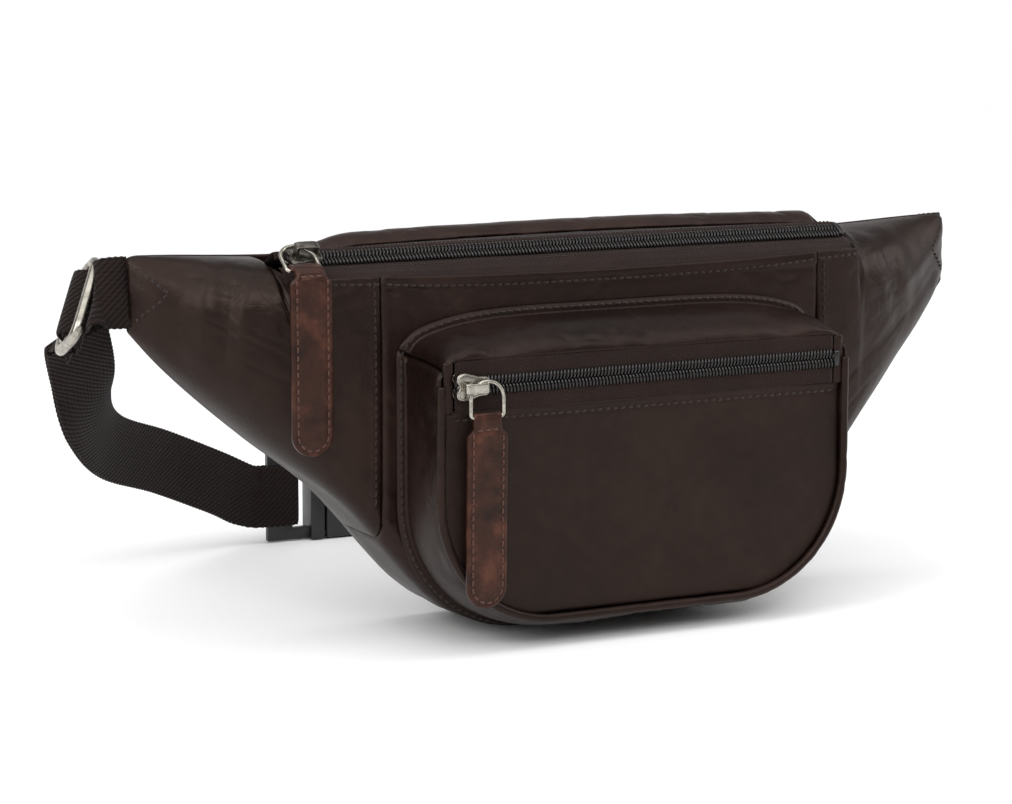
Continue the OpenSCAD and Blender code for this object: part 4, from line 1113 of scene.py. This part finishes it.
BELT_W, BELT_T = 26.0, 1.4
BUCKLE_Y, BUCKLE_Z = 183.0, 19.0
LEFT = [((-161, 37.1, 126), (0, 0, 1)), ((-171, 37.2, 126), (0, 0, 1)),
        ((-180, 42, 124.5), (0.2, 0, 0.98)), ((-184, 51, 121), (0.4, 0, 0.92)),
        ((-181, 66, 112), (0.58, -0.25, 0.75)), ((-173, 82, 93), (0.6, -0.35, 0.72)),
        ((-165, 101, 73), (0.4, -0.2, 0.9)), ((-148, 128, 56), (0.15, -0.05, 1)),
        ((-118, 155, 43), (0.05, 0, 1)), ((-88, 173.5, 29), (0, 0, 1)),
        ((-71, 181.8, 20.5), (0, 0, 1)), ((-61, BUCKLE_Y, BUCKLE_Z), (0, 0, 1)),
        ((-50, BUCKLE_Y, BUCKLE_Z), (0, 0, 1))]
RIGHT = [((36, BUCKLE_Y, BUCKLE_Z), (0, 0, 1)), ((60, 181, 21), (0, 0, 1)),
         ((90, 172, 29), (0, 0, 1)), ((122, 152, 43), (-0.05, 0, 1)),
         ((150, 126, 60), (-0.15, -0.05, 1)),
         ((167, 99, 82), (-0.3, -0.1, 0.9)), ((174, 75, 103.5), (-0.3, -0.1, 0.9)),
         ((176.5, 57, 119), (-0.15, 0, 1)), ((175, 45, 125.5), (0, 0, 1)),
         ((168.5, 38.4, 127), (0, 0, 1)),
         ((161, 37.1, 127), (0, 0, 1))]
STEPS = 16              # points to each stretch of a route


def route(pairs):
    """A belt's middle line, the way its width lies, its normals and its direction."""
    p = catmull([q[0] for q in pairs], STEPS)
    a = catmull([q[1] for q in pairs], STEPS)
    t = unit(np.gradient(p, axis=0))
    a = unit(a - t * np.sum(a * t, -1, keepdims=True))
    return p, a, np.cross(a, t), t


def strap(name, p, a, body, nodes, seed=0.0):
    """Webbing along p, its width along a, with toothed edges and a little cupping."""
    half_w, half_t = BELT_W / 2, BELT_T / 2
    both = np.concatenate([p, a], 1)
    s = arc(p)
    q = np.linspace(0, s[-1], int(s[-1] / 0.7))
    both = np.stack([np.interp(q, s, both[:, k]) for k in range(6)], 1)
    p, a = both[:, :3], unit(both[:, 3:])
    t = unit(np.gradient(p, axis=0))
    a = unit(a - t * np.sum(a * t, -1, keepdims=True))
    b = np.cross(t, a)
    cx, cy = squircle(30, 0.28, 0.55)
    saw = 0.34 * (0.5 + 0.5 * np.sin(q * 2 * math.pi / 2.2))
    hw = half_w - 0.15 - saw
    cup = 0.35 * fbm(np.stack([q, q * 0, q * 0 + seed], 1), 26, 2, seed)
    x = hw[:, None] * cx
    bow = cup[:, None] * (1 - (x / half_w) ** 2)
    rr = (p[:, None] + a[:, None] * x[..., None]
          + b[:, None] * (half_t * cy[None] + bow * 0.4)[..., None])
    u = (np.cumsum(np.concatenate([[0], np.hypot(np.diff(cx) * half_w, np.diff(cy) * half_t)])))
    uv = np.stack([np.broadcast_to((cx * half_w + half_w)[None], rr.shape[:2]),
                   np.broadcast_to(q[:, None], rr.shape[:2])], -1).reshape(-1, 2)
    verts, faces = bar_mesh(rr)
    make(name, verts, faces, WEB, body, nodes, uv)


# The tri-glide sits at the fourth point of the left route: GO is its middle, GT runs along the
# belt, GA along its bar and GN out of it. The belt weaves over the bar and under both ends.
p, a, nrm, tan = route(LEFT)
GI = 3 * STEPS
GO, GT, GA = p[GI], tan[GI], a[GI]
GN = np.cross(GA, GT)
REACH_G, BAR_R = 10.0, 1.5              # from the bar to the frame's ends, and the bar's radius
WRAP_R = BAR_R + 0.2 + BELT_T / 2
OVER, UNDER = WRAP_R + BELT_T + 0.5, 2.0 + BELT_T / 2 + 1.1
PLY, LOOP_R, PART = BELT_T + 0.4, 2.4, 22.0
behind = p[:, 1] >= 80
gd = (p - GO) @ GT


def weave(d):
    """How far the belt stands out of the tri-glide's plane at d along it."""
    q = np.abs(d)
    wave = np.cos(math.pi * np.minimum(q, REACH_G) / REACH_G)
    inner = (OVER - UNDER) / 2 + (OVER + UNDER) / 2 * wave
    outer = -UNDER * (1 - ease((q - REACH_G) / 6.0))
    return np.where(q > 16, 0, np.where(q > REACH_G, outer, inner))


at_bar = np.where(behind, ease((p[:, 0] + 50 + 11 + PART) / PART), 0)
near = np.where(behind, 0, 1 - ease((np.abs(gd) - REACH_G - 1) / 8))
on_glide = GO + gd[:, None] * GT + weave(gd)[:, None] * GN
first = mix(p + nrm * (LOOP_R * at_bar)[:, None], on_glide, near[:, None])
a1 = unit(mix(a, GA, near[:, None]))
ang_t = np.radians(np.arange(15, 180, 15))
turn = np.stack([-50 + LOOP_R * np.sin(ang_t), BUCKLE_Y + LOOP_R * np.cos(ang_t),
                 np.full(len(ang_t), BUCKLE_Z)], 1)
wrap_to = GI + STEPS
sel = np.arange(len(p) - 1, wrap_to + 3, -1)
second = (p - nrm * mix(PLY, LOOP_R, at_bar)[:, None])[sel]
line = np.concatenate([first, turn, second])
across = np.concatenate([a1, np.tile([0, 0, 1.0], (len(turn), 1)), a[sel]])
strap("belt_left_webbing", line, across, "bag", ("belt_left",), seed=1.0)
rb = np.array([GO + WRAP_R * (math.cos(q) * GT + math.sin(q) * GN)
               for q in np.radians(np.arange(50, 275, 15))])
us = np.arange(GI + 6, wrap_to + 4)
steep = 1 - ease((gd[us] - REACH_G + 2) / 4)
below = weave(gd[us]) - PLY * (1.15 + 0.5 * steep)
under = mix(p[us] - nrm[us] * PLY, GO + gd[us, None] * GT + below[:, None] * GN, near[us, None])
strap("belt_wrap_webbing", np.concatenate([rb, under]), np.tile(GA, (len(rb) + len(us), 1)), "bag",
      ("belt_end_wrap",), seed=2.0)
p, a, _, _ = route(RIGHT)
strap("belt_right_webbing", p, a, "bag", ("belt_right",), seed=3.0)
RB = (8.0, BUCKLE_Y)
x = np.linspace(34.8, RB[0], 24)
off = mix(PLY / 2, LOOP_R, ease((34.8 - x) / 22))
l1 = np.stack([x, BUCKLE_Y + off, np.full(24, BUCKLE_Z)], 1)
l2 = np.stack([x[::-1], BUCKLE_Y - off[::-1], np.full(24, BUCKLE_Z)], 1)
tr = np.stack([RB[0] - LOOP_R * np.sin(ang_t), RB[1] + LOOP_R * np.cos(ang_t),
               np.full(len(ang_t), BUCKLE_Z)], 1)
line = np.concatenate([l1, tr, l2])
strap("belt_right_loop_webbing", line, np.tile([0, 0, 1.0], (len(line), 1)), "buckle_female",
      ("belt_right_loop",), seed=4.0)
# sewing across the plies beside the buckle
for dx in (0, 3.2):
    zz = np.linspace(-10.5, 10.5, 40) + BUCKLE_Z
    pts = np.stack([np.full(40, 23.0 + dx), np.full(40, BUCKLE_Y - 1.75), zz], 1)
    stitches("stitch_belt_right_%d" % int(dx), pts, (0, -1, 0), "buckle_female", 2.6, 1.9, 0.34)

# tri-glide
half, reach, rd = 15.5, 10.0, 5.0       # its bar's half length, half width and corners
loop2 = []
for cx_, cy_, a0 in ((half - rd, reach - rd, 0), (-half + rd, reach - rd, 90),
                     (-half + rd, -reach + rd, 180), (half - rd, -reach + rd, 270)):
    for k in range(11):
        q = math.radians(a0 + 9 * k)
        loop2.append((cx_ + rd * math.cos(q), cy_ + rd * math.sin(q)))
loop2 = np.array(loop2 + [loop2[0]])
s = arc(loop2)
q = np.linspace(0, s[-1], 120)[:-1]
loop2 = np.stack([np.interp(q, s, loop2[:, 0]), np.interp(q, s, loop2[:, 1])], 1)
path = GO + loop2[:, :1] * GA + loop2[:, 1:] * GT
bar = np.array([GO + GA * k for k in np.linspace(-half + 0.5, half - 0.5, 12)])
parts = [bar_mesh(tube_rings(path, 1.95, 20, True), True), bar_mesh(tube_rings(bar, BAR_R, 16))]
join("tri_glide_metal", parts, NICKEL, "tri_glide", ("tri_glide",))

# ---------------------------------------------------------------- buckle

def moulded(node, body, width):
    """A bevelled copy of a hard plastic part."""
    me = frame["nodes"][node].data.copy()
    ob = add(node + "_moulded", me)
    me.materials.clear()
    me.materials.append(BLACK)
    bm = bmesh.new()
    bm.from_mesh(me)
    bmesh.ops.remove_doubles(bm, verts=bm.verts, dist=1e-6)
    bmesh.ops.dissolve_limit(bm, angle_limit=0.02, verts=bm.verts, edges=bm.edges)
    bm.to_mesh(me)
    bm.free()
    bev = ob.modifiers.new("edge", "BEVEL")
    bev.width = width / 1000
    bev.segments = 3
    bev.limit_method = "ANGLE"
    bev.angle_limit = math.radians(35)
    bev.harden_normals = True
    me.polygons.foreach_set("use_smooth", [True] * len(me.polygons))
    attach(ob, body)
    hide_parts(node)


moulded("buckle_male", "bag", 0.7)
moulded("buckle_female", "buckle_female", 0.9)
moulded("buckle_prong_upper", "prong_upper", 0.5)
moulded("buckle_prong_lower", "prong_lower", 0.5)

# ---------------------------------------------------------------- stage, light and camera

def sweep(name, mat):
    """A floor that turns up into a backdrop behind the object."""
    turn = np.linspace(0, math.pi / 2, 14)[1:]
    ys = np.concatenate([np.linspace(-7, 4, 12), 4 + 2.5 * np.sin(turn), np.full(6, 6.5)])
    zs = np.concatenate([np.zeros(12), 2.5 * (1 - np.cos(turn)), np.linspace(3.0, 7.0, 6)])
    zs -= 0.0006            # just under the object
    v = [(x, y, z) for x in (-9, 9) for y, z in zip(ys, zs)]
    n = len(ys)
    me = bpy.data.meshes.new(name)
    me.from_pydata(v, [], [(i, n + i, n + i + 1, i + 1) for i in range(n - 1)])
    me.polygons.foreach_set("use_smooth", [True] * (n - 1))
    me.materials.append(mat)
    add(name, me)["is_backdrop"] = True


m = Nodes("floor_white")
co = m.node("TexCoord").outputs["Object"]
m.bumps((m.noise(co, 40, 3), 0.0002, 0.05))
sweep("floor", m.set(color=(0.93, 0.93, 0.93), spec=0.2,
                     rough=m.span(m.noise(co, 6, 2), 0.3, 0.7, 0.5, 0.6)))


def face(ob, direction):
    ob.rotation_euler = direction.to_track_quat("-Z", "Y").to_euler()


def area(name, place, aim, size, power, size_y):
    li = bpy.data.lights.new(name, "AREA")
    li.energy = power
    li.shape = "RECTANGLE"
    li.size = size
    li.size_y = size_y
    ob = add(name, li)
    ob.location = place
    face(ob, Vector(aim) - Vector(place))


def sun(name, toward, strength, angle):
    li = bpy.data.lights.new(name, "SUN")
    li.energy = strength
    li.angle = math.radians(angle)
    face(add(name, li), Vector(toward))


sun("overhead", (0.15, 0.45, -1.0), 2.5, 90)
area("left_box", (-1.3, -0.55, 0.75), (-0.05, -0.03, 0.08), 0.7, 9, 1.0)
area("right_box", (1.25, -0.35, 0.7), (0.05, -0.03, 0.08), 0.5, 5, 0.9)
area("front_box", (-0.3, -1.5, 1.1), (0, -0.05, 0.08), 0.8, 7, 0.5)
studio = bpy.data.worlds.new("studio")
studio.use_nodes = True
sky = studio.node_tree.nodes["Background"].inputs
sky["Color"].default_value = (1, 1, 1, 1)
sky["Strength"].default_value = 0.24
bpy.context.scene.world = studio
bpy.context.scene.view_settings.view_transform = "Standard"

cam = bpy.data.cameras.new("camera")
camera = add("camera", cam)
aim = Vector(world(np.array([-41.0, 0.0, 84.0])))
az, el, dist = math.radians(-26.4), math.radians(9.3), 1.080
direction = Vector((math.sin(az) * math.cos(el), -math.cos(az) * math.cos(el), math.sin(el)))
camera.location = aim + direction * dist
face(camera, -direction)
cam.sensor_width = 36
cam.lens = 106.7
bpy.context.scene.camera = camera

lo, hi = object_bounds()
